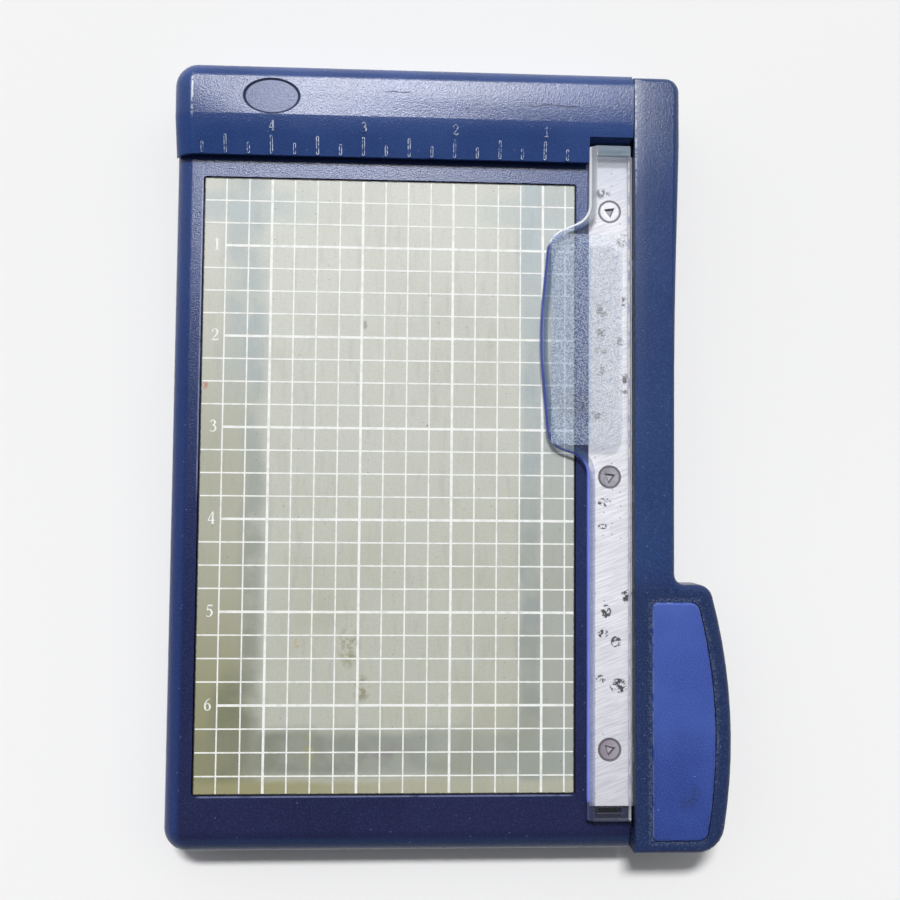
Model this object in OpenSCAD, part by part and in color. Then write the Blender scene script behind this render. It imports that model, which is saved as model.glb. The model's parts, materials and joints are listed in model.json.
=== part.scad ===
// Small lever paper trimmer with a blue grip and a clear pressure guard.
// Millimetres. The cutting plane is x = 0, the fence is y = 0 and the table is z = 0.
// The place module moves everything so that the origin is under the middle of the box.

/* [Mat and rails] */
// Width of the cutting mat
mat_w = 104.2; // [80:0.1:140]
// Length of the cutting mat
mat_l = 170.1; // [140:0.1:220]
// Thickness of the cutting mat
mat_t = 1.6; // [1:0.1:2]
// Depth of the mat's top below the rails
mat_sink = 0.4; // [0.2:0.1:0.8]
// Gap all round the mat in its recess
mat_gap = 0.3; // [0.1:0.05:0.6]
// Corner radius of the mat
mat_corner = 0.6; // [0.5:0.1:4]
// Thickness of the tape under the mat
tape_t = 0.25; // [0.1:0.05:0.4]
// Width of a tape strip
tape_w = 9.6; // [5:0.2:15]
// Distance of the tape from the mat's edges
tape_inset = 6; // [2:0.5:15]
// Width of the left rail
left_rail = 7.9; // [6:0.1:14]
// Width of the rail between the mat and the fixed blade
mid_rail = 3.4; // [2:0.1:10]
// Width of the rail between the mat and the fence
rear_rail = 6; // [3:0.1:12]
// Width of the front rail
front_rail = 15.7; // [14:0.1:30]

/* [Base shell] */
// Height of the rails above the table
rail_z = 17; // [16.5:0.1:19]
// Thickness of the outer walls
wall = 2.4; // [2:0.1:3]
// Thickness of the deck under the mat
deck_t = 2.25; // [1.5:0.05:2.5]
// Corner radius of the base in plan
base_corner = 6.5; // [6.3:0.1:14]
// Width of the rounding along the front edge
front_round = 6.2; // [2:0.1:6.2]
// Width of the rounding along the left edge
side_round = 5; // [1:0.1:5.6]
// Height of the rounding on the base
round_h = 4.5; // [2:0.1:4.5]
// Angle left at the crease where a rounding meets a flat top
edge_crease = 25; // [0:1:40]
// Distance of the right wall from the cutting plane
right_gap = 0.7; // [0.5:0.05:1.2]
// Thickness of the ribs under the deck
rib_t = 1.6; // [1:0.1:3]

/* [Bottom cover and feet] */
// Height of the base's rim above the table
rim_z = 2; // [1:0.1:2.4]
// Thickness of the bottom cover
cover_t = 2; // [1.2:0.1:2.2]
// Gap round the bottom cover
cover_gap = 0.2; // [0.1:0.05:0.5]
// Radius of a rubber foot
foot_r = 6; // [4:0.1:8]
// Depth of the foot's seat in the cover
foot_sink = 0.6; // [0.3:0.1:0.9]
// Distance of the feet from the sides of the base
foot_inset = 17; // [13:0.5:24]
// Radius of the bosses for the screws
boss_r = 3.4; // [2.8:0.1:4]
// Radius of the self-tapping screws
screw_r = 1.3; // [1:0.05:1.6]
// Radius of the heads of the self-tapping screws
screw_head_r = 2.5; // [2.1:0.1:3]
// Distance of the cover's screws from the sides of the base
cover_screw_inset = 7.6; // [7.2:0.1:9]

/* [Head] */
// Reach of the head behind the fence
head_depth = 24.8; // [24.4:0.1:32]
// Height of the head above the rails
head_rise = 5.8; // [5:0.1:8]
// Thickness of the head's walls
head_wall = 2; // [1.6:0.1:2.4]
// Reach of the lip in front of the fence
lip_reach = 0.6; // [0.5:0.1:3]
// Gap for paper under the lip
lip_gap = 1.8; // [1:0.1:2.2]
// Thickness of the lip's front edge
lip_t = 1.1; // [0.6:0.1:1.6]
// Distance of the break in the ruler face behind the fence
slope_end = 9.9; // [6:0.1:10.5]
// Width of the rounding along the rear edge
rear_round = 4.5; // [2:0.1:6]
// Width of the rounding on the head's left end
head_side_round = 5.4; // [1:0.1:6]
// Height of the rounding on the head
head_round_h = 4.6; // [2:0.1:5]
// Distance of the notch's wall behind the fence
notch_y = 6.1; // [5:0.1:6.6]
// Length of the bare oval recess
oval_l = 15.7; // [8:0.1:20]
// Width of the bare oval recess
oval_w = 10; // [6:0.1:10.4]
// Width of the sloped rim of the bare oval recess
oval_rim = 0.5; // [0.2:0.05:1]
// Depth of the bare oval recess
oval_deep = 0.35; // [0.1:0.05:0.6]
// Distance of the oval's middle from the head's left end
oval_x = 27.1; // [15:0.1:40]
// Distance of the head's screws behind the fence
head_screw_y = 12; // [10:0.1:14]
// Distance of the oval's middle behind the fence
oval_y = 15; // [13.5:0.1:15.4]

/* [Ruler ticks] */
// Distance between two ticks
tick_step = 6.35; // [5:0.05:8]
// Number of the first tick left of the cutting plane
tick_first = 3; // [3:1:6]
// Least distance of the last tick from the head's left end
tick_margin = 7; // [6:0.5:40]
// Width of a tick
tick_w = 0.8; // [0.5:0.05:1.6]
// Height of a tick above the ruler face
tick_h = 0.25; // [0.1:0.05:0.5]
// Length of a quarter tick
tick_short = 2.4; // [1.5:0.1:4]
// Length of a half or whole tick
tick_long = 4.4; // [3:0.1:5.4]
// Distance of the ticks from the lip's edge
tick_start = 0.6; // [0.3:0.1:1]

/* [Fixed blade] */
// Width of the fixed blade
strip_w = 12.3; // [11.5:0.1:16]
// Thickness of the fixed blade
strip_t = 2; // [1.5:0.1:2.2]
// Gap beside the fixed blade in its bed
strip_gap = 0.15; // [0.05:0.05:0.3]
// Distance of either cutting edge from the cutting plane
edge_gap = 0.05; // [0.03:0.01:0.1]
// Reach of the fixed blade behind the fence
strip_rear = 2.1; // [1.5:0.1:2.2]
// Distance of the fixed blade from the base's front edge
strip_front = 12.6; // [12:0.1:20]
// Distance of the first screw in front of the fence
strip_screw_y = 13.7; // [10:0.1:20]
// Radius of the heads of the fixed blade's screws
strip_head_r = 2.95; // [2:0.05:3.1]
// Radius of the triangle in the heads of the fixed blade's screws
strip_drive_r = 1.5; // [0.8:0.05:1.8]
// Depth of the countersink
strip_head_h = 1; // [0.6:0.1:1.2]
// Radius of the shanks of the fixed blade's screws
strip_shank_r = 1.4; // [1:0.05:1.5]

/* [Pressure guard] */
// Thickness of the guard
guard_t = 3; // [2:0.1:3.4]
// Travel of the guard under the fingers
guard_travel = 1; // [0.9:0.05:1.1]
// Gap left for paper when the guard is pressed down
paper_gap = 0.2; // [0.15:0.05:0.4]
// Distance of the guard's right edge from the cutting plane
guard_edge = 0.9; // [0.7:0.1:2]
// Reach of the guard left of the fixed blade
guard_side = 0.3; // [0.1:0.05:1.5]
// Extra reach of the guard in front of its tab
guard_step = 0.5; // [0.2:0.05:0.8]
// Reach of the guard past the fixed blade's rear end
guard_rear = 1.8; // [1.5:0.1:2]
// Reach of the guard past the fixed blade's front end
guard_front = 3; // [2:0.1:3.4]
// Thickness of the legs at the guard's ends
guard_leg = 1.3; // [1:0.1:1.4]
// Length of the guard's feet
guard_foot_l = 6.6; // [6:0.1:8]
// Height of the guard's feet
guard_foot_h = 3; // [2:0.1:3.4]
// Width of the legs and feet
guard_foot_w = 7; // [6:0.1:8]
// Clearance of the guard's feet in their slots
slot_gap = 0.3; // [0.2:0.05:0.5]
// Gap between the guard's feet and the fixed blade
guard_foot_gap = 0.1; // [0.05:0.05:0.3]
// Width of the bevel on the guard's upper edges
guard_bevel = 1.9; // [0.5:0.1:2.2]
// Height of that bevel
guard_bevel_h = 1.5; // [0.5:0.1:2]
// Distance of the finger tab's rear root from the fence
tab_rear = 16.4; // [12:0.1:22]
// Distance of the finger tab's front root from the fence
tab_front = 84.2; // [70:0.1:100]
// Reach of the tab's corners
tab_reach = 11.6; // [9:0.1:16]
// Bow of the tab's long side
tab_bow = 2.65; // [1.5:0.05:4]
// Slant of the tab's rear side
tab_slant_rear = 5.15; // [2:0.05:7]
// Slant of the tab's front side
tab_slant_front = 3.65; // [2:0.05:7]
// Radius of the tab's corners
tab_corner = 7; // [3:0.1:8]
// Radius of the tab's root fillets
tab_fillet = 6; // [2:0.1:7]

/* [Guard springs] */
// Mean radius of a spring
spring_r = 1.9; // [1.5:0.05:2.4]
// Radius of the spring wire
spring_wire = 0.25; // [0.15:0.05:0.3]
// Number of turns
spring_turns = 6; // [4:1:7]

/* [Arm] */
// Thickness of the arm
arm_t = 9.8; // [9:0.1:10.5]
// Distance of the arm's left side from the cutting plane
arm_gap = -0.4; // [-0.4:0.05:0.5]
// Reach of the arm's right side at its rear
arm_rear_w = 12.5; // [12.2:0.1:16]
// Reach of the arm's right side at its waist
arm_waist_w = 10.8; // [10.2:0.1:12]
// Distance of the waist in front of the fence
arm_waist_y = 90; // [60:1:110]
// Radius of the arm's rear corner
arm_corner = 4; // [3:0.1:9]
// Width of the rounding along the arm's right edge
arm_round = 1.9; // [1:0.1:3.6]
// Width of the rounding along the arm's ends
arm_end_round = 1.6; // [0.6:0.1:3]
// Height of the rounding on the arm
arm_round_h = 2.2; // [1:0.1:2.6]
// Width of the bevel along the arm's left edge
arm_bevel = 3; // [0.4:0.1:3.4]
// Height of the bevel along the arm's left edge
arm_bevel_h = 0.45; // [0.2:0.05:2.2]
// Distance of the arm's rear from the head's rear
arm_tail = 1.3; // [0:0.1:2]
// Distance of the arm's front from the base's front
arm_setback = 1; // [0:0.1:4]

/* [Grip] */
// Length of the grip
grip_l = 72.7; // [60:0.1:80]
// Reach of the grip right of the cutting plane
grip_reach = 26.4; // [22:0.1:34]
// Radius of the grip's bowed side
grip_bow = 150; // [110:1:300]
// Distance of the bow's crest from the grip's front
grip_crest = 31; // [24:0.5:44]
// Radius of the grip's rear corner
grip_rear_r = 4.2; // [3.7:0.1:8]
// Radius of the grip's front corner
grip_front_r = 8; // [3.7:0.1:10]
// Radius of the fillet between arm and grip
grip_fillet = 2.8; // [1:0.1:6]
// Margin left of the inlay
inlay_left = 4.1; // [2:0.1:6]
// Margin right of the inlay
inlay_right = 4.6; // [4:0.1:8]
// Margin behind the inlay
inlay_rear = 4.6; // [3:0.1:8]
// Margin in front of the inlay
inlay_front = 3.6; // [3:0.1:8]
// Radius of the inlay's right corners
inlay_corner = 3; // [1.5:0.1:5]
// Depth of the inlay's pocket
inlay_deep = 1.6; // [1:0.1:2]
// Height of the inlay above the grip
inlay_rise = 0.25; // [0:0.05:0.8]
// Gap round the inlay
inlay_gap = 0.1; // [0.05:0.05:0.3]
// Thickness of the plate under the grip
grip_cover_t = 2; // [1.2:0.1:2.4]

/* [Moving blade] */
// Thickness of the moving blade
blade_t = 2; // [1.5:0.1:2.2]
// Distance of the blade's back below the arm's top
blade_top = 2.6; // [2.3:0.1:3]
// Distance of the blade's front from the arm's front
blade_front = 5.6; // [4:0.1:10]
// Drop of the cutting edge below the rails at the fence
edge_rear = 7.2; // [6:0.1:7.2]
// Drop of the cutting edge below the rails at its front
edge_front = 8.4; // [6:0.1:10]
// Height of the ground bevel on the blade
grind_h = 2.2; // [1:0.1:4]

/* [Screws] */
// Depth of the seats for the heads of the self-tapping screws
screw_seat = 1.4; // [1.2:0.1:1.4]
// Length of the cover's screws under their heads
cover_screw_l = 5.2; // [4:0.1:5.6]
// Reach of the head's screws into the head
head_screw_l = 5.6; // [4:0.1:6]
// Length of the fixed blade's screws
strip_screw_l = 9.5; // [7:0.1:10]
// Length of the bracket's screws
bracket_screw_l = 4.6; // [4:0.1:4.8]
// Length of the moving blade's screws
blade_screw_l = 6.6; // [5:0.1:6.8]
// Length of the grip plate's screws under their heads
grip_screw_l = 4.2; // [3:0.1:4.6]
// Radius of the triangle in the other countersunk heads
flat_drive_r = 1.05; // [0.7:0.05:1.2]
// Height of the countersunk heads
flat_head_h = 1.1; // [0.9:0.05:1.2]
// Spare depth of the screw holes
hole_spare = 0.9; // [0.3:0.1:1]

/* [Pivot] */
// Gap between the pivot's washers and the notch's wall
pivot_gap = 0.5; // [0.4:0.05:0.9]
// Drop of the pivot below the rails
pivot_drop = 3; // [2.8:0.1:3.2]
// Radius of the pivot bolt
bolt_r = 3; // [2.5:0.05:3.1]
// Running clearance of the pivot bolt
bolt_gap = 0.05; // [0.02:0.01:0.1]
// Radius of the bolt's head
bolt_head_r = 5.5; // [5:0.1:5.8]
// Height of the bolt's head
bolt_head_h = 3; // [2:0.1:3]
// Thickness of the cap over the bolt
cap_t = 1.2; // [0.8:0.1:1.4]
// Radius of the blade's eye
eye_r = 6.2; // [5:0.1:6.2]
// Radius of the arm's hub
hub_r = 8; // [7.6:0.1:8.4]
// Thickness of the pivot bracket
bracket_t = 3; // [2:0.1:3.4]
// Radius of the bracket's round top
bracket_r = 5.6; // [5.4:0.1:5.8]
// Gap between the bracket and the rear wall
bracket_gap = 1.4; // [1.3:0.1:1.8]
// Gap between the bracket and the slot of the guard's foot
bracket_clear = 1.8; // [1:0.1:2.4]
// Wall of the pivot bush
bush_t = 1.15; // [0.8:0.05:1.3]
// Radius of the washers and the bush's flange
washer_r = 5.4; // [5:0.05:5.5]
// Thickness of the washer and of the bush's flange
washer_t = 1; // [0.6:0.1:1.4]
// Height of one disc spring
disc_h = 0.95; // [0.8:0.05:1.1]
// Thickness of one disc spring
disc_t = 0.55; // [0.4:0.05:0.6]
// Width of the nut across its flats
nut_w = 10; // [9:0.1:10]
// Height of the nut
nut_h = 4.8; // [3:0.1:5.5]
// Radius of the stop pin
stop_r = 1.5; // [1:0.05:1.5]
// Angle at which the arm meets its stop
open_angle = 65; // [50:1:70]
// Angle by which the stop lug leads the arm's rear end
lug_lead = 12; // [8:1:16]
// Radius of the stop lug
lug_r = 1.6; // [1.2:0.1:1.8]
// Reach of the stop lug right of the cutting plane
lug_reach = 5.5; // [4:0.1:7]

/* [Hidden] */
// Smoothness of round parts
$fn = 48;
// Reach of cuts that pass the whole part
far = 60;
// Small overlap that keeps cuts clean
eps = 0.5;
// Gap between pieces that touch without pressing
touch = 0.05;

// Plan positions, right to left
strip_right = -edge_gap;
strip_left = strip_right - strip_w;
bed_left = strip_left - strip_gap;
recess_right = bed_left - mid_rail;
mat_right = recess_right - mat_gap;
mat_left = mat_right - mat_w;
recess_left = mat_left - mat_gap;
base_left = recess_left - left_rail;
base_right = -right_gap;

// Plan positions, rear to front
recess_rear = -rear_rail;
mat_rear = recess_rear - mat_gap;
mat_front = mat_rear - mat_l;
recess_front = mat_front - mat_gap;
base_front = recess_front - front_rail;
strip_y1 = strip_rear;
strip_y0 = base_front + strip_front;
guard_y1 = strip_y1 + guard_rear;
guard_y0 = strip_y0 - guard_front;
guard_left = strip_left - guard_side;
guard_right = -guard_edge;
bed_front = guard_y0 - slot_gap;

// Levels
cover_top = rim_z + cover_t;
mat_top = rail_z - mat_sink;
tape_z = mat_top - mat_t;
deck_top = tape_z - tape_t;
deck_z = deck_top - deck_t;
bed_z = rail_z - strip_t;
seat_z = rail_z - round_h;
seat_deck_z = seat_z - deck_t;
head_top = rail_z + head_rise;
lip_top = rail_z + lip_gap + lip_t;
guard_z = rail_z + guard_travel + paper_gap;
guard_top = guard_z + guard_t;
guard_foot_top = bed_z - guard_foot_gap;
guard_foot_z = guard_foot_top - guard_foot_h;
arm_top = head_top;
arm_z = arm_top - arm_t;
arm_y1 = head_depth - arm_tail;
guard_low = guard_foot_z - guard_travel - slot_gap;
pivot_y = notch_y + head_wall + washer_r + pivot_gap;
pivot_z = rail_z - pivot_drop;
ear_z = pivot_z + 6.2;
ear_y0 = pivot_y - 6.3;
ear_y1 = pivot_y + 6.8;

// Number of the last tick that fits on the ruler face
tick_last = floor((-base_left - tick_margin) / tick_step);

// Screw positions
strip_screw_step = (-strip_screw_y - (strip_y0 + 15.3)) / 2;
strip_screw_x = (strip_left + strip_right) / 2 - 0.2;
strip_screw_ys = [for (i = [0:2]) -strip_screw_y - i * strip_screw_step];
cover_xs = [base_left + cover_screw_inset, base_right - 3 * cover_screw_inset];
cover_spots = [
    for (x = cover_xs)
    for (y = [base_front + cover_screw_inset, base_front / 2])
    [x, y]
];
cover_rear_spots = [
    [base_left + cover_screw_inset, head_depth - cover_screw_inset],
    [base_left * 0.4, head_depth - cover_screw_inset]
];
cover_all = concat(cover_spots, cover_rear_spots);
head_spots = [for (k = [0.86, 0.58, 0.29]) [base_left * k, head_screw_y]];
foot_x0 = base_left + foot_inset;
foot_x1 = base_right - foot_inset;
foot_y0 = base_front + foot_inset + 3;
foot_y1 = head_depth - foot_inset;
blade_screw_z = arm_top - 6;
grip_y0 = base_front + arm_setback;
grip_y1 = grip_y0 + grip_l;
blade_screw_ys = [-30, grip_y1 + 25, grip_y0 + 26];
bracket_x1 = base_right - wall;
bracket_x0 = bracket_x1 - bracket_t;
flange_l = 25;
flange_x = bracket_x0 - flange_l + 5;
bracket_y0 = guard_y1 + slot_gap + bracket_clear;
bracket_y1 = head_depth - wall - bracket_gap;
flange_z = cover_top + 0.6;
flange_t = 2;
flat_seat_h = flat_head_h + 0.15;
bracket_screw_ys = [bracket_y0 + 3, bracket_y1 - 3];
spring_x = (bed_left + guard_right) / 2 + 0.2;
slot_x0 = spring_x - guard_foot_w / 2 - slot_gap;
slot_x1 = spring_x + guard_foot_w / 2 + slot_gap;
leg_rear_y = strip_y1 + 0.25;
leg_front_y = strip_y0 - 0.25 - guard_leg;
foot_rear_y0 = leg_rear_y + guard_leg - guard_foot_l;
foot_front_y1 = leg_front_y + guard_foot_l;
spring_rear_y = foot_rear_y0 + guard_foot_l / 2;
spring_front_y = foot_front_y1 - guard_foot_l / 2;
spring_pin_h = 1.6;
coil_steps = 20;
spring_line = coil_line(cover_top + touch, guard_foot_z - touch);
echo(spring_gap = coil_gap(spring_line));
stop_y = pivot_y - 5.2;
stop_z = rail_z - edge_rear - 0.12 - stop_r;

// Origin under the middle of the whole box
shift_x = -(base_left + grip_reach) / 2;
shift_y = -(base_front + head_depth) / 2;

// Colours
navy = [0.10, 0.13, 0.27];
royal = [0.16, 0.25, 0.55];
milk = [0.77, 0.78, 0.74];
steel = [0.80, 0.80, 0.82];
dark = [0.10, 0.10, 0.11];
clear = [0.72, 0.80, 0.90, 0.5];
bronze = [0.66, 0.48, 0.26];

// Piece to draw, or all of them

// The same level for every point of an outline
function level(outline, z) = [for (q = outline) z];

// Points on an arc, each with its outward normal
function arc(c, r, a0, a1, n, out = 1) = [
    for (i = [0:n])
    let (a = a0 + (a1 - a0) * i / n)
    [c.x + r * cos(a), c.y + r * sin(a), out * cos(a), out * sin(a)]
];

// The same arc without its two ends
function arc_inner(c, r, a0, a1, n, out = 1) = [
    for (i = [1:n - 1])
    let (a = a0 + (a1 - a0) * i / n)
    [c.x + r * cos(a), c.y + r * sin(a), out * cos(a), out * sin(a)]
];

function unit(v) = v / norm(v);

// Rounded corner at b on the way from a to c
function fillet(a, b, c, r, n) =
    let (
        u = unit(a - b),
        v = unit(c - b),
        half = acos(u * v) / 2,
        middle = b + unit(u + v) * (r / sin(half)),
        turn = sign((b.x - a.x) * (c.y - b.y) - (b.y - a.y) * (c.x - b.x)),
        first = b + u * (r / tan(half)),
        a0 = atan2(first.y - middle.y, first.x - middle.x)
    )
    arc(middle, r, a0, a0 + turn * (180 - 2 * half), n, turn);

function spot(p) = [p.x, p.y];

// Closed outline through corners given as [x, y, radius], anticlockwise
function rounded(corners, n = 8) =
    let (m = len(corners))
    [
        for (i = [0:m - 1])
        each fillet(
            spot(corners[(i + m - 1) % m]),
            spot(corners[i]),
            spot(corners[(i + 1) % m]),
            corners[i].z,
            n
        )
    ];

// Rounded corners along an open path, without its two ends
function bends(corners, n = 8) = [
    for (i = [1:len(corners) - 2])
    each fillet(spot(corners[i - 1]), spot(corners[i]), spot(corners[i + 1]), corners[i].z, n)
];

function plan(outline) = [for (q = outline) spot(q)];

// Point moved inwards by the width of its side: left, right, front, rear
function inward(q, e, k) = [
    q[0] - k * q[2] * (q[2] < 0 ? e[0] : e[1]),
    q[1] - k * q[3] * (q[3] < 0 ? e[2] : e[3])
];

// Corner on the bowed side of the grip, beside the line y, rounded with r
function bow_middle(c, big, y, side, r) =
    let (cy = y + side * r)
    [c.x + sqrt(pow(big - r, 2) - pow(cy - c.y, 2)), cy];

function bow_angle(c, m) = atan2(m.y - c.y, m.x - c.x);

// Right side of the grip or of its inlay, from front to rear
function bow_side(big, y0, y1, r0, r1) =
    let (
        c = [grip_reach - grip_bow, grip_y0 + grip_crest],
        m0 = bow_middle(c, big, y0, 1, r0),
        m1 = bow_middle(c, big, y1, -1, r1),
        t0 = bow_angle(c, m0),
        t1 = bow_angle(c, m1)
    )
    concat(
        arc(m0, r0, -90, t0, 6),
        arc_inner(c, big, t0, t1, 10),
        arc(m1, r1, t1, 90, 6)
    );

waist_dx = arm_rear_w - arm_waist_w;
waist_dy = arm_waist_y + 4;
waist_r = (pow(waist_dx, 2) + pow(waist_dy, 2)) / (2 * waist_dx);
waist_turn = asin(waist_dy / waist_r);

// Straight side that faces a chain of points, with a partner for each of them
function straight_side(chain, x, nx) = [
    for (i = [len(chain) - 1:-1:0])
    [x, chain[i][1], nx, chain[i][3]]
];

// Right side of the lever, from front to rear
arm_side = concat(
    bow_side(grip_bow, grip_y0, grip_y1, grip_front_r, grip_rear_r),
    arc([arm_waist_w + grip_fillet, grip_y1 + grip_fillet + 0.02], grip_fillet, 270, 180, 6, -1),
    arc([arm_waist_w + waist_r, -arm_waist_y], waist_r, 180, 180 - waist_turn, 8, -1),
    arc([arm_rear_w - arm_corner, arm_y1 - arm_corner], arm_corner, 0, 90, 8)
);

// The lever, the base and the head run past their flat sides, which are cut square afterwards
arm_outline = concat(arm_side, straight_side(arm_side, -8, 0));

// Outline inside the grip, smaller by the given margins
function grip_inner(left, right, front, rear, small, big) = concat(
    arc([left + small, grip_y1 - rear - small], small, 90, 180, 5),
    arc([left + small, grip_y0 + front + small], small, 180, 270, 5),
    bow_side(grip_bow - right, grip_y0 + front, grip_y1 - rear, big, big)
);

head_corner_arc = arc([base_left + base_corner, head_depth - base_corner], base_corner, 90, 180, 8);

base_side = concat(
    head_corner_arc,
    arc([base_left + base_corner, base_front + base_corner], base_corner, 180, 270, 8)
);
base_outline = concat(base_side, straight_side(base_side, 20, 0));

head_side = concat(head_corner_arc, [[base_left, slope_end, -1, 0], [base_left, -lip_reach, -1, 0]]);
head_outline = concat(head_side, straight_side(head_side, 20, 0));
head_tops = [for (q = head_outline) q[1] < slope_end ? lip_top : head_top];

// Rim of the bare oval recess
oval_outline = [
    for (i = [0:39])
    let (a = 9 * i, out = unit([oval_w * cos(a), oval_l * sin(a)]))
    [oval_l / 2 * cos(a), oval_w / 2 * sin(a), out.x, out.y]
];

guard_line = [
    [guard_left, guard_y1, 0],
    [guard_left, -tab_rear, tab_fillet],
    [guard_left - tab_reach, -tab_rear - tab_slant_rear, tab_corner],
    [guard_left - tab_reach - tab_bow, -(tab_rear + tab_front) / 2, 120],
    [guard_left - tab_reach, -tab_front + tab_slant_front, tab_corner],
    [guard_left - guard_step, -tab_front, tab_fillet],
    [guard_left - guard_step, guard_y0, 0]
];
guard_chain = concat(
    [[guard_left, guard_y1, -1, 0]],
    bends(guard_line),
    [[guard_left - guard_step, guard_y0, -1, 0]]
);
guard_outline = concat(guard_chain, straight_side(guard_chain, guard_right, 1));

// Flat cap over an outline whose points face each other in pairs
function paired_cap(n) = [
    for (i = [0:n / 2 - 2])
    each [[i, i + 1, n - 2 - i], [i, n - 2 - i, n - 1 - i]]
];

// Flat cap over an outline without hollow corners
function fan_cap(n) = [for (i = [1:n - 2]) [0, i, i + 1]];

// The same faces moved up by a number of points and turned over
function upper_cap(cap, shift) = [for (f = cap) [f[2] + shift, f[1] + shift, f[0] + shift]];

// Steps along a rounded edge, as shares of its width and of its height
function edge_steps(steps, crease) = [
    for (k = [0:steps])
    let (last = 90 - crease, a = last * k / steps)
    [(1 - cos(a)) / (1 - cos(last)), sin(a) / sin(last)]
];

// Block with an outline in plan and rounded upper edges below the given tops, one for each point
module soft_block(outline, z0, tops, h, e, steps = 6, paired = true, crease = edge_crease) {
    n = len(outline);
    rings = concat(
        [[for (q = outline) [q[0], q[1], z0]]],
        [
            for (s = edge_steps(steps, crease))
            [for (i = [0:n - 1]) let (p = inward(outline[i], e, s[0])) [p.x, p.y, tops[i] - h + h * s[1]]]
        ]
    );
    count = len(rings);
    sides = [
        for (k = [0:count - 2])
        for (i = [0:n - 1])
        let (a = k * n + i, b = k * n + (i + 1) % n)
        each [[a, a + n, b + n], [a, b + n, b]]
    ];
    cap = paired ? paired_cap(n) : fan_cap(n);
    polyhedron([for (r = rings) each r], concat(cap, sides, upper_cap(cap, (count - 1) * n)), convexity = 6);
}

// Box between two corners
module box(a, b) {
    translate(a) cube(b - a);
}

// Cylinder along x
module rod(x0, x1, y, z, r) {
    translate([x0, y, z]) rotate([0, 90, 0]) cylinder(h = x1 - x0, r = r);
}

// Ring along x
module collar(x0, x1, y, z, r, bore) {
    difference() {
        rod(x0, x1, y, z, r);
        rod(x0 - eps, x1 + eps, y, z, bore);
    }
}

// Shape drawn in y and z, pushed along x
module side_plate(x0, x1) {
    translate([x0, 0, 0]) rotate([90, 0, 90]) linear_extrude(x1 - x0) children();
}

// Self-tapping screw that points up, with its head under z
module up_screw(x, y, z, length) {
    translate([x, y, z - screw_seat]) difference() {
        union() {
            cylinder(h = screw_seat, r = screw_head_r);
            cylinder(h = screw_seat + length, r = screw_r);
        }
        translate([0, 0, -eps]) cylinder(h = 0.8 + eps, r = 1, $fn = 6);
    }
}

// Countersunk screw along z with its flat head at the top
module flat_screw(head_r, head_h, shank_r, length, drive_r, turn) {
    difference() {
        union() {
            translate([0, 0, -head_h]) cylinder(h = head_h, r1 = shank_r, r2 = head_r);
            translate([0, 0, -length]) cylinder(h = length - head_h, r = shank_r);
        }
        translate([0, 0, -0.7]) rotate([0, 0, turn]) cylinder(h = 0.7 + eps, r = drive_r, $fn = 3);
    }
}

// Middle line of an open coil from z0 to z1
function coil_line(z0, z1) =
    let (count = spring_turns * coil_steps, rise = z1 - z0 - 2 * spring_wire)
    [
        for (i = [0:count])
        let (a = 360 * i / coil_steps)
        [spring_r * cos(a), spring_r * sin(a), z0 + spring_wire + rise * i / count]
    ];

// Least gap between the turns of a coil, measured on its points
function coil_gap(line) = min([
    for (i = [0:len(line) - 1 - coil_steps / 2])
    for (k = [i + coil_steps / 2:len(line) - 1])
    norm(line[k] - line[i]) - 2 * spring_wire
]);

// Wire along the middle line of a coil
module coil(line) {
    sides = 8;
    count = len(line) - 1;
    points = [
        for (i = [0:count])
        let (p = line[i], out = [p.x, p.y, 0] / spring_r)
        for (k = [0:sides - 1])
        let (b = 360 * k / sides)
        p + spring_wire * (cos(b) * out + sin(b) * [0, 0, 1])
    ];
    walls = [
        for (i = [0:count - 1])
        for (k = [0:sides - 1])
        let (a = i * sides + k, b = i * sides + (k + 1) % sides)
        each [[a, a + sides, b + sides], [a, b + sides, b]]
    ];
    first = [[for (k = [0:sides - 1]) k]];
    last = [[for (k = [0:sides - 1]) count * sides + sides - 1 - k]];
    polyhedron(points, concat(first, walls, last), convexity = 10);
}

module base_body() {
    difference() {
        soft_block(
            base_outline, rim_z, level(base_outline, rail_z), round_h,
            [side_round, 1, front_round, 1]
        );
        box([base_right, base_front - 1, 0], [far, head_depth + 1, rail_z + 1]);
        box([base_left - 1, touch, seat_z], [1, head_depth + 1, rail_z + 1]);
    }
}

// Hollow under the deck
module base_cavity() {
    inner = rounded([
        [base_left + wall, base_front + wall, base_corner - wall],
        [base_right - wall, base_front + wall, 1.5],
        [base_right - wall, head_depth - wall, 1.5],
        [base_left + wall, head_depth - wall, base_corner - wall]
    ]);
    intersection() {
        translate([0, 0, rim_z - eps]) linear_extrude(deck_z - rim_z + eps) polygon(plan(inner));
        union() {
            box([base_left, base_front, rim_z - 1], [0, -wall, deck_z + 1]);
            box([base_left, -wall - 1, rim_z - 1], [0, head_depth, seat_deck_z]);
        }
    }
}

module base_bosses() {
    for (y = strip_screw_ys)
        translate([strip_screw_x, y, cover_top + 1]) cylinder(h = deck_z - cover_top - 0.9, r = boss_r);
    for (p = cover_spots)
        translate([p.x, p.y, cover_top]) cylinder(h = deck_z - cover_top + 0.1, r = boss_r);
    for (p = cover_rear_spots)
        translate([p.x, p.y, cover_top]) cylinder(h = seat_deck_z - cover_top + 0.1, r = boss_r);
    for (y = bracket_screw_ys)
        translate([flange_x + 4, y, flange_z + flange_t])
            cylinder(h = seat_deck_z - flange_z - flange_t + 0.1, r = 2.9);
}

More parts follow.
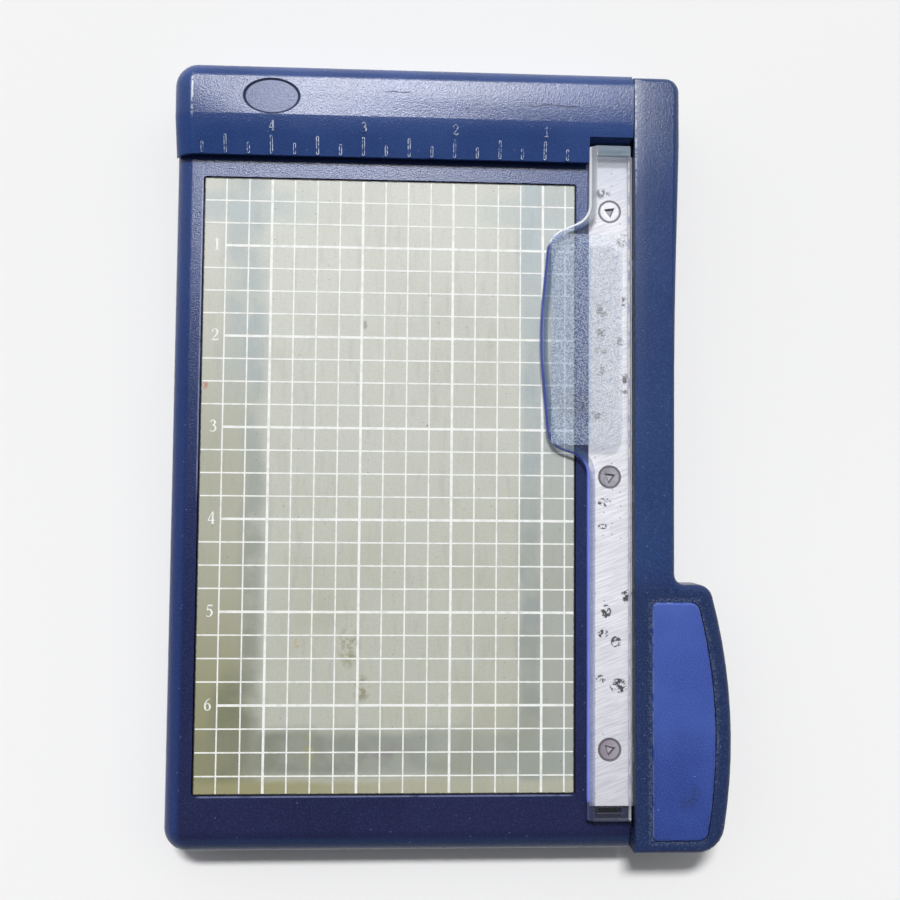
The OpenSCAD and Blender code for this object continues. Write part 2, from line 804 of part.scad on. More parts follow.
// Lattice of stiffening ribs under the deck
module base_ribs() {
    low = cover_top + 0.3;
    for (k = [1:5])
        let (x = base_left * k / 6)
        box([x - rib_t / 2, base_front + wall - 0.1, low], [x + rib_t / 2, -wall + 0.1, deck_z + 0.1]);
    for (k = [2:5])
        let (x = base_left * k / 6)
        box([x - rib_t / 2, -wall, low], [x + rib_t / 2, head_depth - wall + 0.1, seat_deck_z + 0.1]);
    for (k = [1:9])
        let (y = base_front * k / 10)
        box(
            [base_left + wall - 0.1, y - rib_t / 2, low],
            [base_right - wall + 0.1, y + rib_t / 2, deck_z + 0.1]
        );
}

// Wall that carries the pivot, and the lug that stops the open arm
module pivot_ear() {
    box([base_right - wall, ear_y0, seat_z - 0.1], [base_right, ear_y1, ear_z]);
    lug_turn = open_angle - lug_lead;
    stop_reach = (arm_y1 - pivot_y + lug_r) / cos(lug_lead) + 0.15;
    lug_y = pivot_y + stop_reach * cos(lug_turn);
    lug_z = pivot_z - stop_reach * sin(lug_turn);
    rod(base_right - 1, lug_reach, lug_y, lug_z, lug_r);
}

module base_shell() {
    color(navy)
    difference() {
        union() {
            difference() {
                base_body();
                base_cavity();
            }
            base_bosses();
            base_ribs();
            pivot_ear();
        }
        // Mat recess
        translate([0, 0, deck_top]) linear_extrude(10) polygon(plan(rounded([
            [recess_left, recess_front, mat_corner + mat_gap],
            [recess_right, recess_front, mat_corner + mat_gap],
            [recess_right, recess_rear, mat_corner + mat_gap],
            [recess_left, recess_rear, mat_corner + mat_gap]
        ])));
        // Bed of the fixed blade
        box([bed_left, bed_front, bed_z], [1, 4, rail_z + 1]);
        // Slots for the guard's feet
        box(
            [slot_x0, bed_front, min(deck_z - 1, guard_low)],
            [slot_x1, foot_front_y1 + slot_gap, rail_z]
        );
        box(
            [slot_x0, foot_rear_y0 - slot_gap, min(seat_deck_z - 1, guard_low)],
            [slot_x1, guard_y1 + slot_gap, rail_z]
        );
        // Opening for the bracket and the nut
        box(
            [bracket_x1 - 18, bracket_y0 - slot_gap, seat_deck_z - 1],
            [bracket_x1, max(bracket_y1, pivot_y + bracket_r) + slot_gap, seat_z + 1]
        );
        rod(bracket_x1 - 1, base_right + 1, pivot_y, pivot_z, bolt_r + bolt_gap + bush_t + touch);
        rod(bracket_x1 - 1, base_right + 1, stop_y, stop_z, stop_r + 0.1);
        // Screw holes
        for (y = strip_screw_ys)
            translate([strip_screw_x, y, cover_top + 2]) cylinder(h = 20, r = strip_shank_r + touch);
        for (p = cover_all)
            translate([p.x, p.y, rim_z])
                cylinder(h = screw_seat + cover_screw_l + hole_spare, r = screw_r + touch);
        for (p = head_spots)
            translate([p.x, p.y, rim_z]) cylinder(h = 20, r = screw_r + touch);
        for (y = bracket_screw_ys)
            translate([flange_x + 4, y, flange_z])
                cylinder(h = bracket_screw_l + hole_spare, r = screw_r + touch);
    }
}

module bottom_cover() {
    g = wall + cover_gap;
    r = base_corner - g;
    color(navy)
    difference() {
        union() {
            translate([0, 0, rim_z]) linear_extrude(cover_t) polygon(plan(rounded([
                [base_left + g, base_front + g, r],
                [base_right - g, base_front + g, 1.2],
                [base_right - g, head_depth - g, 1.2],
                [base_left + g, head_depth - g, r]
            ])));
            for (y = [spring_front_y, spring_rear_y])
                translate([spring_x, y, cover_top - 0.1])
                    cylinder(h = spring_pin_h + 0.1, r = spring_r - 0.6);
        }
        for (x = [foot_x0, foot_x1])
            for (y = [foot_y0, foot_y1])
                translate([x, y, rim_z - eps]) cylinder(h = foot_sink + eps, r = foot_r + 0.1);
        for (p = cover_all) {
            translate([p.x, p.y, rim_z - eps]) cylinder(h = cover_t + 2 * eps, r = screw_r + 0.2);
            translate([p.x, p.y, rim_z - eps]) cylinder(h = screw_seat + eps, r = screw_head_r + 0.2);
        }
    }
}

module bottom_cover_screws() {
    color(steel)
    for (p = cover_all)
        up_screw(p.x, p.y, rim_z + screw_seat, cover_screw_l);
}

module foot(x, y) {
    color(dark)
    translate([x, y, 0]) union() {
        cylinder(h = 0.8, r1 = foot_r - 0.6, r2 = foot_r);
        translate([0, 0, 0.8]) cylinder(h = rim_z + foot_sink - 0.8, r = foot_r);
    }
}

module foot_front_left() {
    foot(foot_x0, foot_y0);
}

module foot_front_right() {
    foot(foot_x1, foot_y0);
}

module foot_rear_left() {
    foot(foot_x0, foot_y1);
}

module foot_rear_right() {
    foot(foot_x1, foot_y1);
}

// Raised bar with round ends on the ruler face
module tick(x, length) {
    slope = atan2(head_top - lip_top, slope_end + lip_reach);
    translate([x, -lip_reach, lip_top]) rotate([slope, 0, 0]) translate([0, tick_start, -0.3]) {
        translate([-tick_w / 2, 0, 0]) cube([tick_w, length, tick_h + 0.3]);
        cylinder(h = tick_h + 0.3, r = tick_w / 2, $fn = 24);
        translate([0, length, 0]) cylinder(h = tick_h + 0.3, r = tick_w / 2, $fn = 24);
    }
}

module head_hollow() {
    ceiling = head_top - head_wall;
    low = lip_top - head_wall + 0.6;
    side_plate(base_left + wall, bed_left - head_wall - 0.3)
        polygon([
            [head_wall, seat_z - 1], [head_wall, low], [slope_end, ceiling],
            [head_depth - rear_round - 1, ceiling],
            [head_depth - wall, ceiling - head_round_h + 1], [head_depth - wall, seat_z - 1]
        ]);
    side_plate(bed_left - head_wall - 1, base_right - wall)
        polygon([
            [notch_y + head_wall - 0.2, seat_z - 1], [notch_y + head_wall - 0.2, ceiling],
            [head_depth - rear_round - 1, ceiling],
            [head_depth - wall, ceiling - head_round_h + 1], [head_depth - wall, seat_z - 1]
        ]);
}

// Gap for paper under the lip, which follows the rounded left edge of the base
module lip_room() {
    edge = [
        for (s = edge_steps(6, edge_crease))
        [base_left + side_round * s[0], seat_z + lip_gap + round_h * s[1]]
    ];
    left = base_left - 1;
    low = seat_z - 1;
    translate([0, 2 * touch, 0]) rotate([90, 0, 0]) linear_extrude(lip_reach + 1)
        polygon(concat(
            [[left, low], [1, low], [1, rail_z + lip_gap]],
            [for (i = [len(edge) - 1:-1:0]) edge[i]],
            [[left, seat_z + lip_gap]]
        ));
}

module head_cover() {
    color(navy)
    difference() {
        union() {
            difference() {
                soft_block(
                    head_outline, seat_z, head_tops, head_round_h,
                    [head_side_round, 0.5, 0.5, rear_round]
                );
                box([base_right, -far, 0], [far, far, far]);
                lip_room();
                head_hollow();
            }
            for (p = head_spots)
                translate([p.x, p.y, seat_z]) cylinder(h = head_top - head_wall - seat_z + 0.1, r = boss_r);
            for (i = [tick_first:tick_last])
                tick(-i * tick_step, i % 2 == 0 ? tick_long : tick_short);
        }
        // Notch over the end of the fixed blade
        box([bed_left - 0.35, -10, seat_z - 1], [1, notch_y, head_top + 2]);
        // Room for the pivot ear
        box([base_right - wall - 1, ear_y0 - 0.1, seat_z - 1], [1, ear_y1 + 0.1, ear_z + 0.1]);
        // Bare oval recess
        translate([base_left + oval_x, oval_y, head_top]) mirror([0, 0, 1])
            soft_block(
                oval_outline, -1, level(oval_outline, oval_deep), oval_deep,
                [oval_rim, oval_rim, oval_rim, oval_rim], 1, false
            );
        for (p = head_spots)
            translate([p.x, p.y, seat_z - eps])
                cylinder(h = head_screw_l + hole_spare + eps, r = screw_r + touch);
    }
}

module head_screws() {
    color(steel)
    for (p = head_spots)
        up_screw(p.x, p.y, seat_deck_z, deck_t + head_screw_l);
}

module cutting_mat() {
    color(milk)
    translate([0, 0, tape_z]) linear_extrude(mat_t) polygon(plan(rounded([
        [mat_left, mat_front, mat_corner],
        [mat_right, mat_front, mat_corner],
        [mat_right, mat_rear, mat_corner],
        [mat_left, mat_rear, mat_corner]
    ])));
}

module mat_tape() {
    x0 = mat_left + tape_inset;
    x1 = mat_right - tape_inset;
    y0 = mat_front + tape_inset;
    y1 = mat_rear - tape_inset;
    color(milk) {
        box([x0, y0, deck_top], [x0 + tape_w, y1, tape_z]);
        box([x1 - tape_w, y0, deck_top], [x1, y1, tape_z]);
        box([x0 + tape_w + 0.2, y0, deck_top], [x1 - tape_w - 0.2, y0 + tape_w, tape_z]);
        box([x0 + tape_w + 0.2, y1 - tape_w, deck_top], [x1 - tape_w - 0.2, y1, tape_z]);
    }
}

module fixed_blade() {
    color(steel)
    difference() {
        box([strip_left, strip_y0, bed_z], [strip_right, strip_y1, rail_z]);
        for (y = strip_screw_ys) {
            translate([strip_screw_x, y, bed_z - eps])
                cylinder(h = strip_t + 2 * eps, r = strip_shank_r + 0.1);
            translate([strip_screw_x, y, rail_z - strip_head_h - touch])
                cylinder(h = strip_head_h + touch, r1 = strip_shank_r + 0.1, r2 = strip_head_r + 0.1);
        }
    }
}

module fixed_blade_screws() {
    turns = [-82, -96, 18];
    color(steel)
    for (i = [0:2])
        translate([strip_screw_x, strip_screw_ys[i], rail_z - touch])
            flat_screw(strip_head_r, strip_head_h, strip_shank_r, strip_screw_l, strip_drive_r, turns[i]);
}

module pivot_bracket() {
    color(steel)
    difference() {
        union() {
            box([bracket_x0, bracket_y0, flange_z], [bracket_x1 - touch, bracket_y1, seat_z - 0.4]);
            box(
                [bracket_x0, pivot_y - bracket_r, seat_z - 1.4],
                [bracket_x1 - touch, pivot_y + bracket_r, pivot_z]
            );
            rod(bracket_x0, bracket_x1 - touch, pivot_y, pivot_z, bracket_r);
            box([flange_x, bracket_y0, flange_z], [bracket_x0 + 1, bracket_y1, flange_z + flange_t]);
        }
        rod(bracket_x0 - 1, bracket_x1 + 1, pivot_y, pivot_z, bolt_r + bolt_gap + bush_t + touch);
        rod(bracket_x0 - 1, bracket_x1 + 1, stop_y, stop_z, stop_r + 0.02);
        for (y = bracket_screw_ys)
            translate([flange_x + 4, y, flange_z - 1]) cylinder(h = flange_t + 2, r = screw_r + 0.1);
        for (y = bracket_screw_ys)
            translate([flange_x + 4, y, flange_z - touch])
                cylinder(h = flat_seat_h, r1 = screw_head_r + 0.1, r2 = screw_r + 0.1);
    }
}

module bracket_screws() {
    color(steel)
    for (y = bracket_screw_ys)
        translate([flange_x + 4, y, flange_z]) rotate([180, 0, 0])
            flat_screw(screw_head_r, flat_head_h, screw_r, bracket_screw_l, flat_drive_r, 0);
}

module pivot_bush() {
    sleeve_r = bolt_r + bolt_gap + bush_t;
    color(bronze)
    difference() {
        union() {
            rod(bracket_x0 - 0.1, base_right - touch, pivot_y, pivot_z, sleeve_r);
            rod(bracket_x0 - washer_t, bracket_x0, pivot_y, pivot_z, washer_r);
        }
        rod(bracket_x0 - washer_t - 1, base_right + 1, pivot_y, pivot_z, bolt_r + bolt_gap);
    }
}

module stop_pin() {
    color(steel)
    rod(bracket_x0, edge_gap + blade_t - 0.1, stop_y, stop_z, stop_r);
}

module guard_spring_front() {
    color(steel)
    translate([spring_x, spring_front_y, 0]) coil(spring_line);
}

module guard_spring_rear() {
    color(steel)
    translate([spring_x, spring_rear_y, 0]) coil(spring_line);
}

// Leg and foot that hold one end of the guard under the fixed blade
module guard_end(leg_y, foot_y0, foot_y1) {
    x0 = spring_x - guard_foot_w / 2;
    x1 = spring_x + guard_foot_w / 2;
    box([x0, leg_y, guard_foot_z], [x1, leg_y + guard_leg, guard_z + 0.1]);
    box([x0, foot_y0, guard_foot_z], [x1, foot_y1, guard_foot_top]);
}

module pressure_guard() {
    color(clear)
    union() {
        soft_block(
            guard_outline, guard_z, level(guard_outline, guard_top), guard_bevel_h,
            [guard_bevel, 0.5, guard_bevel, guard_bevel], 1
        );
        guard_end(leg_rear_y, foot_rear_y0, leg_rear_y + guard_leg);
        guard_end(leg_front_y, leg_front_y, foot_front_y1);
    }
}

// Hollows that lighten the arm from below, between the screw bosses
module arm_hollows() {
    roof = arm_top - 2.4;
    x0 = edge_gap + blade_t + 2.2;
    x1 = arm_waist_w - 2.4;
    bands = [
        [blade_screw_ys[0] + 4, -4],
        [blade_screw_ys[1] + 4, blade_screw_ys[0] - 4],
        [grip_y1 + 4, blade_screw_ys[1] - 4]
    ];
    for (b = bands)
        let (count = ceil((b[1] - b[0]) / 20), step = (b[1] - b[0]) / count)
        for (i = [0:count - 1])
            box([x0, b[0] + i * step, arm_z - 1], [x1, b[0] + (i + 1) * step - rib_t, roof]);
}

function grip_screw_spots() = [
    [12, grip_y0 + 12],
    [12, grip_y1 - 12]
];

// Hollow in the grip, closed from below by its plate
module grip_hollow() {
    plate = grip_inner(blade_t + 2.4, 3, 3, 3, 2, 3);
    inner = grip_inner(blade_t + 3.4, 4.2, 4.2, 4.2, 2, 3);
    translate([0, 0, arm_z - 1]) linear_extrude(grip_cover_t + 1 + touch) polygon(plan(plate));
    difference() {
        translate([0, 0, arm_z + grip_cover_t])
            linear_extrude(arm_top - inlay_deep - 2 - arm_z - grip_cover_t)
            polygon(plan(inner));
        for (p = grip_screw_spots())
            translate([p.x, p.y, arm_z]) cylinder(h = arm_t, r = boss_r);
        box([0, blade_screw_ys[2] - 4, arm_z], [9.5, blade_screw_ys[2] + 4, arm_top]);
    }
}

module arm_shell() {
    face = edge_gap + blade_t + touch;
    back = arm_top - blade_top;
    color(navy)
    difference() {
        union() {
            difference() {
                soft_block(
                    arm_outline, arm_z, level(arm_outline, arm_top), arm_round_h,
                    [1, arm_round, arm_end_round, arm_end_round]
                );
                box([-far, grip_y0 - 1, 0], [arm_gap, head_depth + 1, far]);
            }
            intersection() {
                rod(face, arm_rear_w, pivot_y, pivot_z, hub_r);
                linear_extrude(arm_top - arm_round_h) polygon(plan(arm_outline));
            }
        }
        // Bevel along the left edge
        translate([0, grip_y0 - 1, 0]) rotate([90, 0, 180]) mirror([1, 0, 0])
            linear_extrude(head_depth - grip_y0 + 2)
            polygon([
                [arm_gap - 1, arm_top - arm_bevel_h], [arm_gap, arm_top - arm_bevel_h],
                [arm_gap + arm_bevel, arm_top], [arm_gap + arm_bevel, arm_top + 1], [arm_gap - 1, arm_top + 1]
            ]);
        // Seat of the moving blade
        box([-1, grip_y0 + blade_front - 0.2, 0], [face, head_depth + 1, back + touch]);
        arm_hollows();
        grip_hollow();
        // Pocket of the inlay
        translate([0, 0, arm_top - inlay_deep]) linear_extrude(5)
            polygon(plan(grip_inner(inlay_left, inlay_right, inlay_front, inlay_rear, 1.6, inlay_corner)));
        // Bore and counterbore of the pivot bolt
        rod(0, 20, pivot_y, pivot_z, bolt_r + bolt_gap);
        rod(arm_rear_w - cap_t - bolt_head_h - 0.1, 20, pivot_y, pivot_z, bolt_head_r + 0.6);
        for (y = blade_screw_ys)
            rod(0, edge_gap + touch + blade_screw_l + hole_spare, y, blade_screw_z, screw_r + touch);
        for (p = grip_screw_spots())
            translate([p.x, p.y, arm_z])
                cylinder(h = screw_seat + grip_screw_l + hole_spare, r = screw_r + touch);
    }
}

module grip_insert() {
    g = inlay_gap;
    outline = grip_inner(
        inlay_left + g, inlay_right + g, inlay_front + g, inlay_rear + g, 1.5, inlay_corner - g
    );
    color(royal)
    soft_block(
        outline, arm_top - inlay_deep, level(outline, arm_top + inlay_rise), 0.8,
        [0.8, 0.8, 0.8, 0.8], 4, false, 0
    );
}

module grip_cover() {
    g = 0.15;
    color(navy)
    difference() {
        translate([0, 0, arm_z]) linear_extrude(grip_cover_t)
            polygon(plan(grip_inner(blade_t + 2.4 + g, 3 + g, 3 + g, 3 + g, 1.8, 2.8)));
        for (p = grip_screw_spots()) {
            translate([p.x, p.y, arm_z - eps]) cylinder(h = 4, r = screw_r + 0.2);
            translate([p.x, p.y, arm_z - eps]) cylinder(h = screw_seat + eps, r = screw_head_r + 0.2);
        }
    }
}

module grip_cover_screws() {
    color(steel)
    for (p = grip_screw_spots())
        up_screw(p.x, p.y, arm_z + screw_seat, grip_screw_l);
}

module moving_blade() {
    back = arm_top - blade_top;
    front = grip_y0 + blade_front;
    rear_edge = rail_z - edge_rear;
    front_edge = rail_z - edge_front;
    lean = atan2(rear_edge - front_edge, -front);
    color(steel)
    difference() {
        side_plate(edge_gap, edge_gap + blade_t)
            union() {
                polygon([
                    [pivot_y, back], [front + 2, back], [front, back - 2],
                    [front, front_edge + 1.5], [front + 1.5, front_edge],
                    [0, rear_edge], [pivot_y - 4, rear_edge], [pivot_y, pivot_z]
                ]);
                translate([pivot_y, pivot_z]) circle(r = min(eye_r, back - pivot_z));
            }
        rod(-1, 5, pivot_y, pivot_z, bolt_r + bolt_gap);
        // Ground bevel on the outer side
        translate([edge_gap, 0, rear_edge]) rotate([lean, 0, 0]) rotate([0, atan2(blade_t, grind_h), 0])
            translate([0, front - 20, -6]) cube([6, -front + 22, 6 + norm([blade_t, grind_h])]);
        for (y = blade_screw_ys) {
            rod(-1, 5, y, blade_screw_z, screw_r + 0.1);
            translate([edge_gap, y, blade_screw_z]) rotate([0, 90, 0])
                cylinder(h = flat_seat_h, r1 = screw_head_r + 0.1, r2 = screw_r + 0.1);
        }
    }
}

module moving_blade_screws() {
    color(steel)
    for (y = blade_screw_ys)
        translate([edge_gap + touch, y, blade_screw_z]) rotate([0, -90, 0])
            flat_screw(screw_head_r, flat_head_h, screw_r, blade_screw_l, flat_drive_r, 90);
}

module pivot_bolt() {
    x1 = arm_rear_w - cap_t - 0.1;
    x0 = x1 - bolt_head_h;
    tail = bracket_x0 - 2 * washer_t - 3 * disc_h - nut_h - 2;
    color(steel)
    difference() {
        union() {
            rod(tail, x0 + 0.5, pivot_y, pivot_z, bolt_r);
            rod(x0, x1, pivot_y, pivot_z, bolt_head_r);
        }
        translate([x1 - 1.8, pivot_y, pivot_z]) rotate([0, 90, 0]) cylinder(h = 3, r = 2.3, $fn = 6);
    }
}

module thrust_washer() {
    color(milk)
    collar(base_right + touch, edge_gap - touch, pivot_y, pivot_z, washer_r, bolt_r + 0.1);
}

// One conical disc spring between x and x minus its height
module disc(x, flip) {
    translate([x - disc_h / 2, pivot_y, pivot_z]) rotate([0, flip ? 90 : -90, 0])
        translate([0, 0, -disc_h / 2]) rotate_extrude()
        polygon([
            [bolt_r + 0.15, 0], [washer_r - 0.1, disc_h - disc_t],
            [washer_r - 0.1, disc_h], [bolt_r + 0.15, disc_t]
        ]);
}

module disc_springs() {
    x = bracket_x0 - washer_t - 0.02;
    color(steel)
    for (i = [0:2])
        disc(x - i * (disc_h + 0.02), i % 2 == 0);
}

module pivot_washer() {
    x = bracket_x0 - washer_t - 3 * (disc_h + 0.02) - 0.02;
    color(steel)
    collar(x - washer_t, x, pivot_y, pivot_z, washer_r, bolt_r + 0.1);
}

module pivot_nut() {
    x = bracket_x0 - 2 * washer_t - 3 * (disc_h + 0.02) - 0.04;
    color(steel)
    difference() {
        translate([x - nut_h, pivot_y, pivot_z]) rotate([0, 90, 0])
            cylinder(h = nut_h, r = nut_w / sqrt(3), $fn = 6);
        rod(x - nut_h - 1, x + 1, pivot_y, pivot_z, bolt_r + touch);
    }
}

module pivot_cap() {
    color(navy)
    union() {
        rod(arm_rear_w - cap_t, arm_rear_w - 0.4, pivot_y, pivot_z, bolt_head_r + 0.5);
        translate([arm_rear_w - 0.4, pivot_y, pivot_z]) rotate([0, 90, 0])
            cylinder(h = 0.4, r1 = bolt_head_r + 0.5, r2 = bolt_head_r - 0.2);
    }
}

// Moves the origin under the middle of the box
module place() {
    translate([shift_x, shift_y, 0]) children();
}

place() base_shell();
place() bottom_cover();
place() bottom_cover_screws();
place() foot_front_left();
place() foot_front_right();
place() foot_rear_left();
place() foot_rear_right();
place() head_cover();
place() head_screws();
place() cutting_mat();
place() mat_tape();
place() fixed_blade();
place() fixed_blade_screws();
place() pivot_bracket();
place() bracket_screws();
place() pivot_bush();
place() stop_pin();
place() guard_spring_front();
place() guard_spring_rear();
place() pressure_guard();
place() arm_shell();
place() grip_insert();
place() grip_cover();
place() grip_cover_screws();
place() moving_blade();
place() moving_blade_screws();
place() pivot_bolt();
place() thrust_washer();
place() disc_springs();
place() pivot_washer();
place() pivot_nut();
place() pivot_cap();
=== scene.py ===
"""Looks of a small lever paper trimmer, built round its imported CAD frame. Metres, row frame."""

import json
import math

import bpy
from mathutils import Matrix, Vector


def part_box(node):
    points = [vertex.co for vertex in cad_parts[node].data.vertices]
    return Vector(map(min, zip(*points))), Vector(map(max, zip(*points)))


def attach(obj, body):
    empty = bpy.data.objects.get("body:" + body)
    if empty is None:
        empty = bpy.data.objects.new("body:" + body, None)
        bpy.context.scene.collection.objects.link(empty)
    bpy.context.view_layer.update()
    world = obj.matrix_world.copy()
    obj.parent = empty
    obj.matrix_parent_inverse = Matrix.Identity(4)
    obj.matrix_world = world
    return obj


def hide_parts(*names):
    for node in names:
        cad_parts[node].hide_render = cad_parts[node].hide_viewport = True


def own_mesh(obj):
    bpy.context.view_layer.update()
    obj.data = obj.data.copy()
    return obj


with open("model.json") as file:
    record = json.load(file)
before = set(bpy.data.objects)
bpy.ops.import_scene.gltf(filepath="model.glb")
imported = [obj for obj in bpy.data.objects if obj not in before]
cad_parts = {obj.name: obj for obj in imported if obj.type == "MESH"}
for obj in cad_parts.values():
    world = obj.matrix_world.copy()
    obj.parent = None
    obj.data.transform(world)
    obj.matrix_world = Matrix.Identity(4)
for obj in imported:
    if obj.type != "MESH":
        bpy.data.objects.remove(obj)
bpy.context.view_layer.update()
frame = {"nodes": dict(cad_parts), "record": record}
nodes = frame["nodes"]

MM = 0.001
INCH = 25.4
# Row position of the cutting plane and of the fence, in millimetres
CUT_X = 51.1
FENCE_Y = 83.8
MAT_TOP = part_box("cutting_mat")[1].z / MM
HEAD_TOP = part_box("head_cover")[1].z / MM
MAT_X = tuple(corner.x / MM - CUT_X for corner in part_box("cutting_mat"))
MAT_Y = tuple(corner.y / MM - FENCE_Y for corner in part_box("cutting_mat"))
INLAY_X = tuple(corner.x / MM - CUT_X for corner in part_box("grip_insert"))
INLAY_Y = tuple(corner.y / MM - FENCE_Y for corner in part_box("grip_insert"))
# Ruler slope: height and place of its lower edge, and place of its upper edge
LIP_TOP = 19.9
LIP_Y = -0.6
SLOPE_END = 9.9


def row(x, y, z):
    """Point in metres from millimetres beside the cutting plane, behind the fence and above the table."""
    return Vector(((x + CUT_X) * MM, (y + FENCE_Y) * MM, z * MM))


class Graph:
    """Nodes of a material or of the world, built step by step."""

    def __init__(self, name, world=False):
        self.owner = bpy.data.worlds.new(name) if world else bpy.data.materials.new(name)
        self.owner.use_nodes = True
        self.tree = self.owner.node_tree
        self.tree.nodes.clear()
        self.output = self.node("ShaderNodeOutputWorld" if world else "ShaderNodeOutputMaterial")
        self.coordinates = self.node("ShaderNodeTexCoord").outputs
        self.place = self.coordinates["Object"]

    def node(self, kind, **settings):
        made = self.tree.nodes.new(kind)
        for key, value in settings.items():
            setattr(made, key, value)
        return made

    def feed(self, socket, value):
        if isinstance(value, bpy.types.NodeSocket):
            self.tree.links.new(value, socket)
        elif isinstance(value, (tuple, list)) and socket.type == "RGBA" and len(value) == 3:
            socket.default_value = (*value, 1.0)
        else:
            socket.default_value = value

    def math(self, operation, a, b=0.0):
        made = self.node("ShaderNodeMath", operation=operation)
        self.feed(made.inputs[0], a)
        self.feed(made.inputs[1], b)
        return made.outputs[0]

    def mix(self, factor, a, b):
        made = self.node("ShaderNodeMix", data_type="RGBA")
        self.feed(made.inputs["Factor"], factor)
        self.feed(made.inputs[6], a)
        self.feed(made.inputs[7], b)
        return made.outputs[2]

    def spread(self, value, low, high, out_low=0.0, out_high=1.0):
        made = self.node("ShaderNodeMapRange", interpolation_type="SMOOTHSTEP")
        self.feed(made.inputs["Value"], value)
        self.feed(made.inputs["From Min"], low)
        self.feed(made.inputs["From Max"], high)
        self.feed(made.inputs["To Min"], out_low)
        self.feed(made.inputs["To Max"], out_high)
        return made.outputs["Result"]

    def times(self, first, *others):
        for other in others:
            first = self.math("MULTIPLY", first, other)
        return first

    def most(self, first, *others):
        for other in others:
            first = self.math("MAXIMUM", first, other)
        return first

    def least(self, first, *others):
        for other in others:
            first = self.math("MINIMUM", first, other)
        return first

    def stretched(self, stretch, turn=0.0):
        """Coordinates for marks that are drawn out along an axis, turned about Z by some degrees."""
        made = self.node("ShaderNodeMapping", vector_type="TEXTURE")
        self.feed(made.inputs["Vector"], self.place)
        self.feed(made.inputs["Rotation"], (0.0, 0.0, math.radians(turn)))
        self.feed(made.inputs["Scale"], stretch)
        return made.outputs["Vector"]

    def noise(self, scale, detail=2.0, rough=0.5, vector=None):
        made = self.node("ShaderNodeTexNoise")
        self.feed(made.inputs["Vector"], vector or self.place)
        self.feed(made.inputs["Scale"], scale)
        self.feed(made.inputs["Detail"], detail)
        self.feed(made.inputs["Roughness"], rough)
        return made.outputs["Fac"]

    def patches(self, scale, low, high, detail=3.0):
        """Noise cut to patches of 0 and 1."""
        return self.spread(self.noise(scale, detail), low, high)

    def specks(self, scale, radius, share):
        """Scattered round specks on upward faces; radius and share are parts of a cell and of all cells."""
        made = self.node("ShaderNodeTexVoronoi", voronoi_dimensions="2D")
        self.feed(made.inputs["Vector"], self.place)
        self.feed(made.inputs["Scale"], scale)
        chance = self.axes(made.outputs["Color"])["X"]
        spot = self.spread(made.outputs["Distance"], radius * 0.5, radius, 1.0, 0.0)
        lying = self.spread(self.facing()["Z"], 0.5, 0.8)
        return self.times(spot, lying, self.math("LESS_THAN", chance, share))

    def axes(self, vector=None):
        made = self.node("ShaderNodeSeparateXYZ")
        self.feed(made.inputs[0], vector or self.place)
        return made.outputs

    def plan(self):
        """Millimetres beside the cutting plane, behind the fence and above the table."""
        parts = self.axes()
        x = self.math("SUBTRACT", self.times(parts["X"], 1.0 / MM), CUT_X)
        y = self.math("SUBTRACT", self.times(parts["Y"], 1.0 / MM), FENCE_Y)
        z = self.times(parts["Z"], 1.0 / MM)
        return x, y, z

    def facing(self):
        """Outward direction of the surface, which turns with the body."""
        return self.axes(self.coordinates["Normal"])

    def band(self, value, at, half, soft):
        """1 within half of a place, fading over soft."""
        away = self.math("ABSOLUTE", self.math("SUBTRACT", value, at))
        return self.spread(away, half - soft, half + soft, 1.0, 0.0)

    def oval(self, x, y, at, half=(1.0, 1.0)):
        """Square of the distance from a place, counted in half sizes of an oval round it."""
        u = self.math("DIVIDE", self.math("SUBTRACT", x, at[0]), half[0])
        v = self.math("DIVIDE", self.math("SUBTRACT", y, at[1]), half[1])
        return self.math("ADD", self.times(u, u), self.times(v, v))

    def blob(self, x, y, at, half):
        """Soft oval spot, 1 in the middle."""
        return self.spread(self.oval(x, y, at, half), 0.0, 1.0, 1.0, 0.0)

    def bump(self, height, strength, distance):
        made = self.node("ShaderNodeBump")
        self.feed(made.inputs["Strength"], strength)
        self.feed(made.inputs["Distance"], distance)
        self.feed(made.inputs["Height"], height)
        return made.outputs["Normal"]

    def blend_shaders(self, factor, a, b):
        made = self.node("ShaderNodeMixShader")
        self.feed(made.inputs[0], factor)
        self.feed(made.inputs[1], a)
        self.feed(made.inputs[2], b)
        return made.outputs[0]

    def colored(self, kind, color):
        """Shader of a kind that needs a colour only."""
        made = self.node(kind)
        self.feed(made.inputs["Color"], color)
        return made.outputs[0]

    def surface(self, shader):
        self.feed(self.output.inputs["Surface"], shader)
        return self.owner

    def principled(self, color, roughness, metallic=0.0, normal=None, specular=0.5):
        made = self.node("ShaderNodeBsdfPrincipled")
        self.feed(made.inputs["Base Color"], color)
        self.feed(made.inputs["Roughness"], roughness)
        self.feed(made.inputs["Metallic"], metallic)
        self.feed(made.inputs["Specular IOR Level"], specular)
        if normal is not None:
            self.feed(made.inputs["Normal"], normal)
        return made.outputs["BSDF"]


def linear(r, g, b):
    """Linear colour from display values of 0 to 255."""
    out = []
    for value in (r, g, b):
        v = value / 255
        out.append(v / 12.92 if v <= 0.04045 else ((v + 0.055) / 1.055) ** 2.4)
    return tuple(out)


